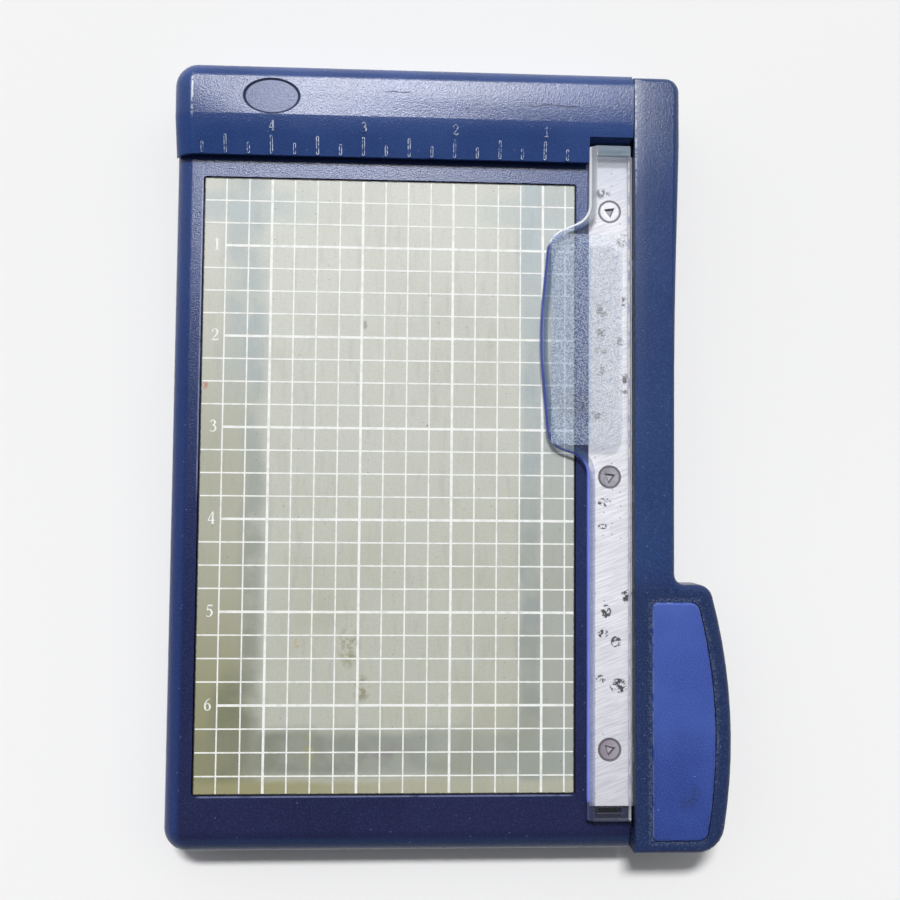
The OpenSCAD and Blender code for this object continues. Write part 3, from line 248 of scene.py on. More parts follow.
# Materials
def pebbled(g, color, gloss=0.27, specular=0.5):
    """Skin of moulded plastic: fine pebbles that sparkle, with some dust."""
    pebbles = g.noise(2300.0, 2.0)
    fine = g.noise(4200.0, 1.0)
    color = g.mix(g.spread(fine, 0.5, 0.75, 0.0, 0.2), color, linear(92, 112, 165))
    color = g.mix(g.spread(pebbles, 0.3, 0.5, 0.22, 0.0), color, linear(14, 22, 52))
    color = g.mix(g.times(g.specks(190.0, 0.035, 0.3), 0.45), color, linear(150, 162, 190))
    normal = g.bump(g.math("ADD", pebbles, g.times(fine, 0.3)), 1.0, 0.00007)
    return g.surface(g.principled(color, gloss, normal=normal, specular=specular))


def base_material():
    g = Graph("navy_base")
    x, y, z = g.plan()
    cloud = g.patches(35.0, 0.35, 0.65, 4.0)
    # Painted shade: the base is coloured darker from the rear to the front, as the light falls off towards
    # the front.
    rear = g.mix(cloud, linear(34, 60, 114), linear(40, 66, 122))
    middle = g.mix(cloud, linear(26, 37, 80), linear(31, 43, 87))
    front = g.mix(cloud, linear(31, 34, 69), linear(35, 38, 75))
    color = g.mix(g.spread(y, -190.0, -100.0), front, middle)
    color = g.mix(g.spread(y, -100.0, -5.0), color, rear)
    # Painted light: the front and left roundings get lighter, bluer tones, as light falls on them.
    color = g.mix(g.times(g.spread(y, -189.0, -187.5, 1.0, 0.0), 0.8), color, linear(34, 54, 92))
    color = g.mix(g.times(g.spread(x, -125.0, -123.4, 1.0, 0.0), 0.7), color, linear(34, 58, 116))
    # Painted highlight, in patches, along the front and left rims of the mat's recess.
    front_edge = g.times(g.band(y, MAT_Y[0] - 0.5, 0.2, 0.1), g.band(x, -68.0, 51.0, 1.0))
    left_edge = g.times(g.band(x, MAT_X[0] - 0.5, 0.2, 0.1), g.band(y, -50.0, 43.0, 6.0))
    edges = g.times(g.most(front_edge, left_edge), g.patches(220.0, 0.2, 0.5), g.spread(z, 16.0, 16.6), 0.6)
    color = g.mix(edges, color, linear(140, 150, 190))
    return pebbled(g, color, specular=g.spread(y, -75.0, -15.0, 0.32, 0.55))


# Bare oval hollow on the head: middle and half size
OVAL = ((-101.5, 15.0), (7.85, 5.0))


def head_material():
    g = Graph("navy_head")
    x, y = g.plan()[:2]
    cloud = g.patches(40.0, 0.35, 0.65, 4.0)
    color = g.mix(cloud, linear(40, 66, 122), linear(48, 74, 132))
    wobble = g.times(g.math("SUBTRACT", g.noise(260.0, 2.0), 0.5), 1.6)
    v = g.math("ADD", y, wobble)
    long_scratch = g.times(g.band(v, 14.2, 0.17, 0.1), g.band(x, -23.7, 6.8, 0.8))
    short_scratch = g.times(g.band(v, 17.0, 0.15, 0.1), g.band(x, -67.0, 3.8, 0.8))
    scratches = g.times(g.most(long_scratch, short_scratch), g.patches(600.0, 0.3, 0.5), 0.85)
    color = g.mix(scratches, color, linear(16, 24, 52))
    # Painted highlight, in patches, along the crease of the head's left rounding.
    corner = g.times(g.band(x, -123.2, 0.26, 0.16), g.band(y, 15.0, 5.4, 1.2), g.patches(900.0, 0.42, 0.56))
    color = g.mix(g.times(corner, 0.75), color, linear(214, 220, 230))
    reach = g.math("SQRT", g.oval(x, y, *OVAL))
    # Painted shade in the rim of the oval hollow.
    rim = g.band(reach, 0.96, 0.05, 0.02)
    color = g.mix(g.times(rim, 0.85), color, linear(14, 22, 50))
    gloss = g.math("ADD", 0.27, g.times(g.spread(reach, 0.92, 1.0, 1.0, 0.0), 0.1))
    gloss = g.math("ADD", gloss, g.times(g.most(rim, scratches), 0.4))
    shine = g.spread(y, SLOPE_END - 0.3, SLOPE_END + 0.3, 0.3, 0.72)
    shine = g.times(shine, g.spread(x, -116.0, -88.0, 0.78, 1.0))
    return pebbled(g, color, gloss, shine)


def arm_material():
    g = Graph("navy_arm")
    x, y = g.plan()[:2]
    cloud = g.patches(35.0, 0.35, 0.65, 4.0)
    color = g.mix(cloud, linear(38, 60, 106), linear(44, 66, 113))
    color = g.mix(g.spread(y, -124.0, -112.0, 1.0, 0.0), color, linear(38, 52, 90))
    grain = g.noise(2300.0, 3.0)
    color = g.mix(g.spread(grain, 0.54, 0.74, 0.0, 0.32), color, linear(92, 108, 146))
    curve = g.math("ADD", y, 157.0)
    inlay_right = g.math("SUBTRACT", INLAY_X[1], g.times(g.math("MULTIPLY", curve, curve), 0.0045))
    beyond_x = g.most(g.math("SUBTRACT", INLAY_X[0], x), g.math("SUBTRACT", x, inlay_right))
    beyond_y = g.most(g.math("SUBTRACT", INLAY_Y[0], y), g.math("SUBTRACT", y, INLAY_Y[1]))
    dust = g.times(g.band(g.most(beyond_x, beyond_y), 0.3, 0.7, 0.5), g.spread(grain, 0.42, 0.66))
    color = g.mix(g.times(dust, 0.3), color, linear(128, 136, 152))
    # Painted highlight along the arm's left edge next to the head.
    pale_highlight = g.times(g.band(x, 0.0, 0.25, 0.15), g.spread(y, -16.0, 2.0), g.patches(700.0, 0.4, 0.58))
    color = g.mix(g.times(pale_highlight, 0.45), color, linear(190, 200, 222))
    return pebbled(g, color, specular=g.spread(y, -14.0, 18.0, 0.14, 0.42))


def worn_highlit_material(name, share):
    """Navy plastic whose raised faces are worn pale, with painted highlight."""
    g = Graph(name)
    scuff = g.times(g.patches(1100.0, 0.36, 0.6), share)
    color = g.mix(scuff, linear(66, 88, 146), linear(222, 230, 244))
    return pebbled(g, color)


def inlay_material():
    g = Graph("royal_rubber")
    x, y = g.plan()[:2]
    grain = g.noise(3600.0, 2.0)
    cloud = g.patches(45.0, 0.35, 0.65, 5.0)
    front = g.mix(cloud, linear(34, 56, 128), linear(46, 70, 147))
    rear = g.mix(cloud, linear(56, 80, 162), linear(66, 92, 174))
    color = g.mix(g.spread(y, -185.0, -135.0), front, rear)
    smudge = g.times(g.blob(x, y, (14.6, -176.4), (4.2, 5.0)), g.patches(260.0, 0.36, 0.58))
    color = g.mix(g.times(smudge, 0.5), color, linear(30, 46, 92))
    color = g.mix(g.spread(grain, 0.45, 0.7, 0.0, 0.3), color, linear(112, 134, 204))
    color = g.mix(g.times(g.specks(300.0, 0.05, 0.1), 0.7), color, linear(176, 190, 226))
    turned = g.spread(g.facing()["Z"], 0.55, 0.95, 1.0, 0.0)
    color = g.mix(g.times(turned, g.patches(500.0, 0.4, 0.6), 0.5), color, linear(150, 166, 204))
    return g.surface(g.principled(color, 0.5, normal=g.bump(grain, 0.7, 0.00005), specular=0.3))


def rubber_material(name, low, high):
    g = Graph(name)
    grain = g.noise(3200.0, 2.0)
    color = g.mix(g.patches(60.0, 0.35, 0.65, 5.0), low, high)
    return g.surface(g.principled(color, 0.62, normal=g.bump(grain, 0.3, 0.00008), specular=0.35))


# Marks on the mat: middle, half size, colour and strength
STAINS = (
    ((-78.5, -136.5), (3.8, 7.0), linear(140, 134, 98), 0.7),
    ((-75.0, -148.0), (2.8, 4.6), linear(136, 128, 96), 0.7),
    ((-92.8, -135.5), (1.2, 1.6), linear(196, 146, 88), 0.8),
    ((-89.1, -164.4), (1.5, 5.8), linear(172, 164, 96), 0.7),
    ((-75.3, -47.2), (0.9, 1.5), linear(150, 140, 124), 0.8),
    ((-57.2, -38.4), (0.7, 0.7), linear(110, 108, 106), 0.9),
    ((-57.4, -75.1), (0.7, 0.7), linear(110, 108, 106), 0.9),
    ((-119.2, -64.7), (0.9, 1.5), linear(190, 116, 106), 0.8),
)


def mat_material():
    """Milky plate, yellowed to the front left, with painted shade darkening it towards the front, and its
    tape showing through as darker bands.
    """
    g = Graph("milky_mat")
    x, y = g.plan()[:2]
    wander = g.times(g.math("SUBTRACT", g.noise(70.0, 4.0), 0.5), 5.0)
    u = g.math("ADD", x, wander)
    v = g.math("ADD", y, wander)
    mottle = g.patches(110.0, 0.3, 0.62, 4.0)

    def mottled(low, high):
        return g.spread(mottle, 0.0, 1.0, low, high)

    # Painted shade: rearward makes the plate and its bands darker towards the front, as the light falls
    # off.
    rearward = g.spread(y, -165.0, -10.0)
    centre = g.mix(rearward, linear(189, 191, 179), linear(208, 210, 202))
    margin_front = g.mix(g.spread(y, -176.0, -95.0), linear(144, 142, 106), linear(178, 179, 163))
    margin = g.mix(g.spread(y, -95.0, -20.0), margin_front, linear(206, 207, 198))
    color = g.mix(g.spread(u, -111.0, -101.5), margin, centre)
    left = g.times(g.band(u, -105.6, 3.0, 2.2), mottled(0.35, 0.9), g.spread(y, -30.0, -70.0, 0.35, 0.75))
    color = g.mix(left, color, g.mix(rearward, linear(128, 132, 120), linear(170, 182, 184)))
    low_corner = g.times(g.blob(x, y, (-111.0, -160.0), (7.0, 22.0)), mottled(0.5, 1.0))
    color = g.mix(g.times(low_corner, 0.7), color, linear(112, 116, 98))
    rear_left = g.times(g.band(u, -109.2, 5.4, 2.6), g.spread(y, -84.0, -46.0), mottled(0.3, 0.7))
    color = g.mix(rear_left, color, linear(170, 181, 184))
    side = g.mix(rearward, linear(168, 172, 165), linear(190, 197, 196))
    color = g.mix(g.times(g.spread(u, -26.6, -24.4), 0.9), color, side)
    tape = g.mix(rearward, linear(150, 157, 156), linear(180, 192, 197))
    tape_share = g.times(g.band(u, -28.6, 3.2, 1.6), mottled(0.65, 0.95))
    color = g.mix(tape_share, color, tape)
    outer = g.math("SUBTRACT", 1.0, g.band(x, -66.0, 28.0, 12.0))
    top_share = g.times(g.band(v, -14.2, 4.2, 2.6), outer, mottled(0.35, 0.8))
    color = g.mix(top_share, color, linear(180, 191, 194))
    rightward = g.spread(x, -108.0, -36.0)
    strip = g.mix(rightward, linear(130, 134, 122), linear(158, 164, 158))
    strip_share = g.times(g.band(v, -165.4, 6.2, 2.2), g.spread(x, -105.0, -101.0, 0.35, 1.0))
    color = g.mix(g.times(strip_share, mottled(0.75, 0.95)), color, strip)
    hem = g.mix(rightward, linear(156, 153, 116), linear(186, 186, 170))
    color = g.mix(g.spread(v, -174.2, -171.6, 1.0, 0.0), color, hem)
    purple = g.blob(x, y, (-72.0, -166.0), (16.0, 5.0))
    color = g.mix(g.times(purple, g.patches(180.0, 0.45, 0.65), 0.45), color, linear(140, 124, 138))
    for at, half, tint, strength in STAINS:
        spot = g.times(g.blob(x, y, at, half), g.patches(640.0, 0.4, 0.58), strength)
        color = g.mix(spot, color, tint)
    grime = g.times(g.patches(38.0, 0.45, 0.75, 5.0), 0.3)
    color = g.mix(grime, color, g.mix(rearward, linear(154, 152, 124), linear(188, 190, 180)))
    streaks = g.noise(700.0, 3.0, 0.5, g.stretched((1.0, 7.0, 1.0)))
    color = g.mix(g.spread(streaks, 0.5, 0.75, 0.0, 0.16), color, linear(150, 152, 142))
    grain = g.noise(1500.0, 3.0, 0.6)
    color = g.mix(g.spread(grain, 0.45, 0.75, 0.0, 0.22), color, linear(150, 150, 136))
    color = g.mix(g.times(g.specks(260.0, 0.06, 0.1), 0.6), color, linear(118, 114, 98))
    # Painted shade in the gap round the edge of the plate.
    across = g.least(g.math("SUBTRACT", x, MAT_X[0]), g.math("SUBTRACT", MAT_X[1], x))
    along = g.least(g.math("SUBTRACT", y, MAT_Y[0]), g.math("SUBTRACT", MAT_Y[1], y))
    ragged = g.math("ADD", g.least(across, along), g.times(g.noise(900.0, 3.0), -0.35))
    color = g.mix(g.spread(ragged, 0.0, 0.16, 0.9, 0.0), color, linear(38, 38, 40))
    return g.surface(g.principled(color, 0.36, specular=0.2))


# Dark pits on the steel strip, and fainter smears under the guard: middle and half size
PITS = (
    ((-7.9, -96.2), (2.5, 1.5)),
    ((-7.8, -103.0), (2.5, 1.0)),
    ((-1.6, -122.0), (2.0, 2.6)),
    ((-7.4, -126.5), (1.9, 2.4)),
    ((-8.2, -132.7), (2.0, 1.5)),
    ((-4.6, -134.9), (1.9, 2.0)),
    ((-8.9, -145.2), (1.8, 1.5)),
    ((-3.9, -147.0), (3.2, 2.6)),
)
SMEARS = (
    ((-8.6, -41.9), (2.6, 3.2)),
    ((-8.9, -48.5), (2.0, 3.0)),
    ((-3.8, -51.0), (1.8, 1.8)),
    ((-8.8, -53.6), (2.4, 1.6)),
    ((-9.0, -59.0), (1.6, 1.8)),
    ((-2.2, -63.1), (1.8, 4.6)),
    ((-10.0, -71.7), (4.0, 1.8)),
    ((-2.6, -39.5), (1.4, 2.2)),
    ((-8.6, -8.6), (3.0, 1.8)),
    ((-2.8, -22.0), (2.4, 2.4)),
)
# Screws of the steel strip: middles, radius, and turn and half width of the triangular drives
STRIP_SCREWS = ((-6.4, -13.7), (-6.4, -89.1), (-6.4, -164.5))
SCREW_R = 2.95
DRIVE_TURNS = (-82.0, -96.0, 18.0)
DRIVE_IN = 0.75


def from_screw(g, x, y):
    """Distance to the nearest screw of the steel strip."""
    return g.math("SQRT", g.least(*[g.oval(x, y, at) for at in STRIP_SCREWS]))


def from_drive(g, x, y):
    """Distance out of the middle of the nearest screw's triangular drive, measured across its sides."""
    ways = []
    for at, turn in zip(STRIP_SCREWS, DRIVE_TURNS):
        dx = g.math("SUBTRACT", x, at[0])
        dy = g.math("SUBTRACT", y, at[1])
        sides = []
        for side in range(3):
            way = math.radians(turn + 60.0 + 120.0 * side)
            sides.append(g.math("ADD", g.times(dx, math.cos(way)), g.times(dy, math.sin(way))))
        ways.append(g.most(*sides))
    return g.least(*ways)


def steel_material():
    g = Graph("blade_steel")
    x, y = g.plan()[:2]
    brushed = g.noise(2400.0, 4.0, 0.6, g.stretched((16.0, 1.0, 1.0), 20.0))
    color = g.mix(g.spread(brushed, 0.34, 0.64), linear(219, 217, 223), linear(248, 247, 250))
    color = g.mix(g.times(g.patches(60.0, 0.4, 0.7), 0.3), color, linear(216, 213, 224))
    # Painted shade: the strip is darker towards the front and near its rear end.
    color = g.mix(g.spread(y, -175.0, -120.0, 0.25, 0.0), color, linear(170, 168, 184))
    color = g.mix(g.spread(y, -26.0, 2.0, 0.0, 0.6), color, linear(188, 194, 208))
    pits = g.most(*[g.blob(x, y, at, half) for at, half in PITS])
    smears = g.most(*[g.blob(x, y, at, half) for at, half in SMEARS])
    color = g.mix(g.times(smears, g.patches(800.0, 0.45, 0.58, 4.0), 0.9), color, linear(88, 83, 87))
    holes = g.math("MULTIPLY", g.spread(pits, 0.15, 0.6), g.patches(1150.0, 0.46, 0.54, 4.0))
    color = g.mix(g.times(holes, 0.95), color, linear(46, 46, 50))
    # Painted shade in the gap round each screw head.
    ring = g.band(from_screw(g, x, y), SCREW_R + 0.16, 0.17, 0.08)
    color = g.mix(g.times(ring, 0.85), color, linear(44, 42, 50))
    color = g.mix(g.times(g.specks(420.0, 0.12, 0.12), 0.6), color, linear(112, 104, 108))
    normal = g.bump(brushed, 0.25, 0.00002)
    return g.surface(g.principled(color, 0.45, 0.08, normal, specular=0.3))


def moving_blade_material():
    """Steel with painted shade along its back, where it lies in the gap beside the arm."""
    g = Graph("moving_blade_steel")
    z = g.plan()[2]
    brushed = g.noise(1400.0, 4.0, 0.65, g.stretched((1.0, 12.0, 1.0)))
    color = g.mix(g.spread(brushed, 0.34, 0.64), linear(176, 175, 182), linear(214, 213, 220))
    color = g.mix(g.spread(z, 14.0, 16.0), color, linear(26, 30, 48))
    return g.surface(g.principled(color, 0.36, 0.4))


def strip_screw_material():
    """Screws with painted shade at the rim of the head and in the drive, coloured darker from the rear one
    to the front one.
    """
    g = Graph("strip_screws")
    x, y, z = g.plan()
    away = from_screw(g, x, y)
    grain = g.patches(900.0, 0.3, 0.7)
    bright = g.mix(grain, linear(218, 217, 224), linear(240, 239, 244))
    dimmer = g.mix(grain, linear(132, 129, 138), linear(166, 163, 172))
    rear_one = g.spread(y, -60.0, -40.0)
    color = g.mix(rear_one, dimmer, bright)
    color = g.mix(g.spread(y, -140.0, -120.0, 0.8, 0.0), color, linear(150, 138, 150))
    color = g.mix(g.times(g.spread(x, -9.0, -4.0), 0.3), color, linear(214, 210, 216))
    dark = linear(50, 46, 54)
    # Painted shade at the rim of each head
    color = g.mix(g.times(g.spread(away, SCREW_R - 0.5, SCREW_R - 0.1), 0.8), color, dark)
    recess = g.mix(rear_one, linear(196, 190, 196), linear(150, 148, 156))
    hollow = g.spread(z, 16.5, 16.9, 0.9, 0.0)
    color = g.mix(hollow, color, recess)
    # Painted shade along the walls of each triangular drive
    outline = g.band(from_drive(g, x, y), DRIVE_IN, 0.16, 0.08)
    color = g.mix(g.times(outline, 0.85), color, dark)
    return g.surface(g.principled(color, 0.4, 0.15, specular=0.4))


def zinc_material():
    g = Graph("zinc_steel")
    color = g.mix(g.patches(700.0, 0.3, 0.7), linear(128, 126, 134), linear(176, 174, 182))
    return g.surface(g.principled(color, 0.34, 0.7))


def bronze_material():
    g = Graph("bronze")
    color = g.mix(g.noise(600.0, 3.0), linear(150, 112, 62), linear(198, 158, 98))
    return g.surface(g.principled(color, 0.35, 0.9))


def pale_material(name, low, high, roughness):
    g = Graph(name)
    color = g.mix(g.noise(800.0, 3.0), low, high)
    return g.surface(g.principled(color, roughness))


# Guard: both ends of its tab, and where the painted light of its rear end and right edge and the painted
# shade of its front end begin
TAB_REAR = -16.4
TAB_FRONT = -84.2
REAR_END = 1.3
FRONT_END = -178.4
RIGHT_EDGE = -1.3
# Guard: heights where the plate begins above the legs and where the lower part of its bevel ends
ABOVE_LEGS = 18.05
LOW_BEVEL = 20.0
# Shader that lets light through
CLEAR = "ShaderNodeBsdfTransparent"


def acrylic_material():
    """Clear plate with painted light in its bevels: blue round the tab, white behind it, lavender in front;
    painted shade at its front end.
    """
    g = Graph("clear_acrylic")
    x, y, z = g.plan()
    face = g.facing()
    plate = g.spread(z, ABOVE_LEGS, ABOVE_LEGS + 0.1)
    slanted = g.times(plate, g.spread(g.math("ABSOLUTE", face["Z"]), 0.95, 0.99, 1.0, 0.0))
    low = g.spread(z, LOW_BEVEL, LOW_BEVEL + 0.3, 1.0, 0.0)
    behind = g.spread(y, TAB_REAR - 4.0, TAB_REAR + 1.0)
    ahead = g.spread(y, TAB_FRONT + 1.0, TAB_FRONT - 2.0)
    haze = g.noise(160.0, 3.0)
    bits = g.times(g.patches(320.0, 0.44, 0.58), g.spread(face["Z"], 0.3, 0.8))
    # Painted light in the bevel lines and slopes, by region
    line = g.mix(haze, linear(42, 54, 150), linear(66, 82, 178))
    line = g.mix(ahead, line, g.mix(haze, linear(104, 124, 240), linear(132, 150, 250)))
    line = g.mix(behind, line, linear(240, 242, 246))
    slope = g.mix(haze, linear(70, 100, 152), linear(102, 130, 176))
    slope = g.mix(ahead, slope, g.mix(haze, linear(120, 132, 192), linear(150, 158, 208)))
    slope = g.mix(behind, slope, g.mix(haze, linear(166, 172, 182), linear(204, 208, 214)))
    color = g.mix(low, slope, line)
    # Painted highlight on lower bevel faces turned to the rear
    rearward = g.spread(face["Y"], 0.12, 0.36)
    color = g.mix(g.times(rearward, low), color, linear(244, 246, 250))
    # Painted light on faces turned to the right
    rightward = g.spread(face["X"], 0.35, 0.6)
    blue = linear(110, 130, 214)
    color = g.mix(rightward, color, g.mix(bits, linear(236, 240, 248), blue))
    # Painted shade at the front end, over the dark slot beneath
    front_end = g.spread(y, FRONT_END, FRONT_END + 1.2, 1.0, 0.0)
    color = g.mix(g.times(front_end, 0.9), color, g.mix(haze, linear(34, 40, 70), linear(60, 66, 98)))
    share = g.times(slanted, g.math("ADD", 0.46, g.times(g.most(low, rightward), 0.42)))
    # Painted light along the plate's right edge and at its rear end
    right_edge = g.spread(x, RIGHT_EDGE - 0.2, RIGHT_EDGE)
    right_share = g.times(plate, right_edge, g.spread(y, TAB_FRONT - 2.0, TAB_FRONT + 8.0, 0.35, 0.85))
    color = g.mix(right_edge, color, g.mix(g.times(bits, 0.5), linear(250, 251, 253), blue))
    rear_end = g.times(plate, g.spread(y, REAR_END - 0.4, REAR_END), 0.5)
    color = g.mix(g.times(rear_end, g.math("SUBTRACT", 1.0, slanted), 2.0), color, linear(146, 166, 184))
    share = g.most(share, right_share, rear_end)
    clear = g.colored(CLEAR, g.mix(haze, (0.985, 0.99, 0.995), (1.0, 1.0, 1.0)))
    gloss = g.principled((0.78, 0.8, 0.86), 0.08, specular=0.5)
    body = g.blend_shaders(0.02, clear, gloss)
    edge = g.principled(color, 0.2, specular=0.5)
    return g.surface(g.blend_shaders(share, body, edge))


def frosted_material():
    g = Graph("frosted_patch")
    x, y = g.plan()[:2]
    grain = g.spread(g.noise(2700.0, 3.0), 0.42, 0.58)
    over_steel = g.spread(x, -12.7, -12.2)
    veil = g.mix(grain, (0.26, 0.34, 0.60), (0.74, 0.83, 1.0))
    brown = g.times(g.blob(x, y, (-17.0, -69.0), (7.5, 5.0)), g.patches(1500.0, 0.46, 0.58), 0.6)
    veil = g.mix(brown, veil, (0.16, 0.14, 0.15))
    pale = g.mix(grain, (0.58, 0.59, 0.68), (1.0, 1.0, 1.0))
    color = g.mix(over_steel, veil, pale)
    share = g.spread(grain, 0.0, 1.0, 0.3, 0.38)
    through = g.colored(CLEAR, g.mix(grain, (0.84, 0.89, 0.96), (0.95, 0.98, 1.0)))
    return g.surface(g.blend_shaders(share, through, g.principled(color, 0.55, specular=0.2)))


def print_material():
    g = Graph("white_print")
    color = g.mix(g.patches(500.0, 0.25, 0.6, 4.0), linear(226, 229, 224), linear(246, 247, 244))
    return g.surface(g.principled(color, 0.5, specular=0.2))


NAVY_BASE = base_material()
NAVY_HEAD = head_material()
NAVY_ARM = arm_material()
NAVY_MARKS = worn_highlit_material("navy_marks", 0.75)
NAVY_WORN_HIGHLIT = worn_highlit_material("navy_worn_highlit", 0.9)
ROYAL = inlay_material()
BLACK = rubber_material("black_rubber", linear(24, 24, 26), linear(38, 38, 40))
MILKY = mat_material()
STEEL = steel_material()
MOVING_STEEL = moving_blade_material()
STRIP_SCREWS_STEEL = strip_screw_material()
ZINC = zinc_material()
BRONZE = bronze_material()
NYLON = pale_material("white_nylon", linear(206, 206, 200), linear(228, 228, 222), 0.5)
TAPE = pale_material("tape", linear(150, 156, 160), linear(176, 182, 186), 0.6)
ACRYLIC = acrylic_material()
FROSTED = frosted_material()
PRINT = print_material()

BY_SLOT = {
    "navy_plastic": NAVY_BASE,
    "blue_rubber": ROYAL,
    "milky_plastic": MILKY,
    "blade_steel": STEEL,
    "zinc_steel": ZINC,
    "black_rubber": BLACK,
    "clear_acrylic": ACRYLIC,
    "bronze": BRONZE,
    "white_nylon": NYLON,
    "tape": TAPE,
}
# Nodes that look different from the rest of their slot
BY_NODE = {
    "head_cover": NAVY_HEAD,
    "arm_shell": NAVY_ARM,
    "grip_cover": NAVY_ARM,
    "pivot_cap": NAVY_ARM,
    "moving_blade": MOVING_STEEL,
    "fixed_blade_screws": STRIP_SCREWS_STEEL,
}


WELD_REACH = 0.000002
FLAT_ANGLE = 0.6
EDGE_SEGMENTS = 2


def soften(obj, width, angle):
    """Rounds the moulded edges without changing the CAD mesh itself."""
    weld = obj.modifiers.new("weld", "WELD")
    weld.merge_threshold = WELD_REACH
    flat = obj.modifiers.new("flat", "DECIMATE")
    flat.decimate_type = "DISSOLVE"
    flat.angle_limit = math.radians(FLAT_ANGLE)
    edge = obj.modifiers.new("edge", "BEVEL")
    edge.width = width
    edge.segments = EDGE_SEGMENTS
    edge.limit_method = "ANGLE"
    edge.angle_limit = math.radians(angle)
    edge.harden_normals = False
    weighted = obj.modifiers.new("weighted", "WEIGHTED_NORMAL")
    weighted.keep_sharp = False
    for polygon in obj.data.polygons:
        polygon.use_smooth = True


# Edge width in metres and the least angle that counts as an edge
SOFT_EDGES = {
    "base_shell": (0.00025, 22),
    "head_cover": (0.00022, 22),
    "arm_shell": (0.00025, 22),
    "grip_insert": (0.0002, 32),
    "pressure_guard": (0.00015, 32),
}

slot_of = {}
for part in frame["record"]["subparts"]:
    name = part["node"]
    slot_of[name] = part["material_slot"]
    piece = nodes[name]
    piece.data.materials.clear()
    piece.data.materials.append(BY_NODE.get(name, BY_SLOT[slot_of[name]]))
    if name in SOFT_EDGES:
        soften(piece, *SOFT_EDGES[name])

# Guard springs, copied onto the base body in place of their CAD parts
for end in ("front", "rear"):
    node = "guard_spring_" + end
    low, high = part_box(node)
    coil = bpy.data.objects.new("spring_coil_" + end, nodes[node].data.copy())
    bpy.context.scene.collection.objects.link(coil)
    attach(coil, "base")
    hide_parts(node)
    length = high.z - low.z
    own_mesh(coil)


def add_piece(name, points, faces, material, body):
    mesh = bpy.data.meshes.new(name)
    mesh.from_pydata([tuple(p) for p in points], [], faces)
    mesh.update()
    mesh.materials.append(material)
    obj = bpy.data.objects.new(name, mesh)
    bpy.context.scene.collection.objects.link(obj)
    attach(obj, body)


class Plates:
    """Thin raised plates collected into one mesh."""

    def __init__(self):
        self.points = []
        self.faces = []

    def add(self, outline, thickness, lift):
        """outline: points on a face, anticlockwise seen from outside; lift: outward unit vector."""
        start = len(self.points)
        count = len(outline)
        self.points += list(outline) + [p + lift * thickness for p in outline]
        self.faces.append(tuple(start + count + i for i in range(count)))
        for i in range(count):
            k = (i + 1) % count
            self.faces.append((start + i, start + k, start + count + k, start + count + i))

    def add_strip(self, left, right, thickness, lift):
        """Plate between two edges with as many points each, seen from outside."""
        start = len(self.points)
        count = len(left)
        low = list(left) + list(right)
        self.points += low + [p + lift * thickness for p in low]
        top = start + 2 * count
        for i in range(count - 1):
            self.faces.append((top + count + i, top + count + i + 1, top + i + 1, top + i))
        rim = [count + i for i in range(count)] + [i for i in range(count - 1, -1, -1)]
        for a, b in zip(rim, rim[1:] + rim[:1]):
            self.faces.append((start + a, start + b, top + b, top + a))


# Printed grid
PRINT_Z = MAT_TOP + 0.02
PRINT_T = 0.02 * MM
UP = Vector((0, 0, 1))
THIN = 0.4
BOLD = 0.7

grid = Plates()


def printed_bar(x0, y0, x1, y1):
    corners = [row(x0, y0, PRINT_Z), row(x1, y0, PRINT_Z), row(x1, y1, PRINT_Z), row(x0, y1, PRINT_Z)]
    grid.add(corners, PRINT_T, UP)


PRINT_EDGE = 0.3
mat_x0 = MAT_X[0] + PRINT_EDGE
mat_x1 = MAT_X[1] - PRINT_EDGE
mat_y0 = MAT_Y[0] + PRINT_EDGE
mat_y1 = MAT_Y[1] - PRINT_EDGE

# Lines a quarter of an inch apart, counted from the cutting plane and from the fence
QUARTER = INCH / 4
columns = [-k * QUARTER for k in range(18, 2, -1)]
rows_y = [-k * QUARTER for k in range(2, 28)]


def is_whole(value):
    return abs(value / INCH - round(value / INCH)) < 0.01


def line_width(value):
    return BOLD if is_whole(value) else THIN


for x in columns:
    half = line_width(x) / 2
    printed_bar(x - half, mat_y0, x + half, mat_y1)
for y in rows_y:
    half = line_width(y) / 2
    first = columns[0] if is_whole(y) else mat_x0
    stops = [first] + [x for x in columns if x > first] + [mat_x1]
    for a, b in zip(stops, stops[1:]):
        gap_a = line_width(a) / 2 if a in columns else 0.0
        gap_b = line_width(b) / 2 if b in columns else 0.0
        printed_bar(a + gap_a, y - half, b - gap_b, y + half)

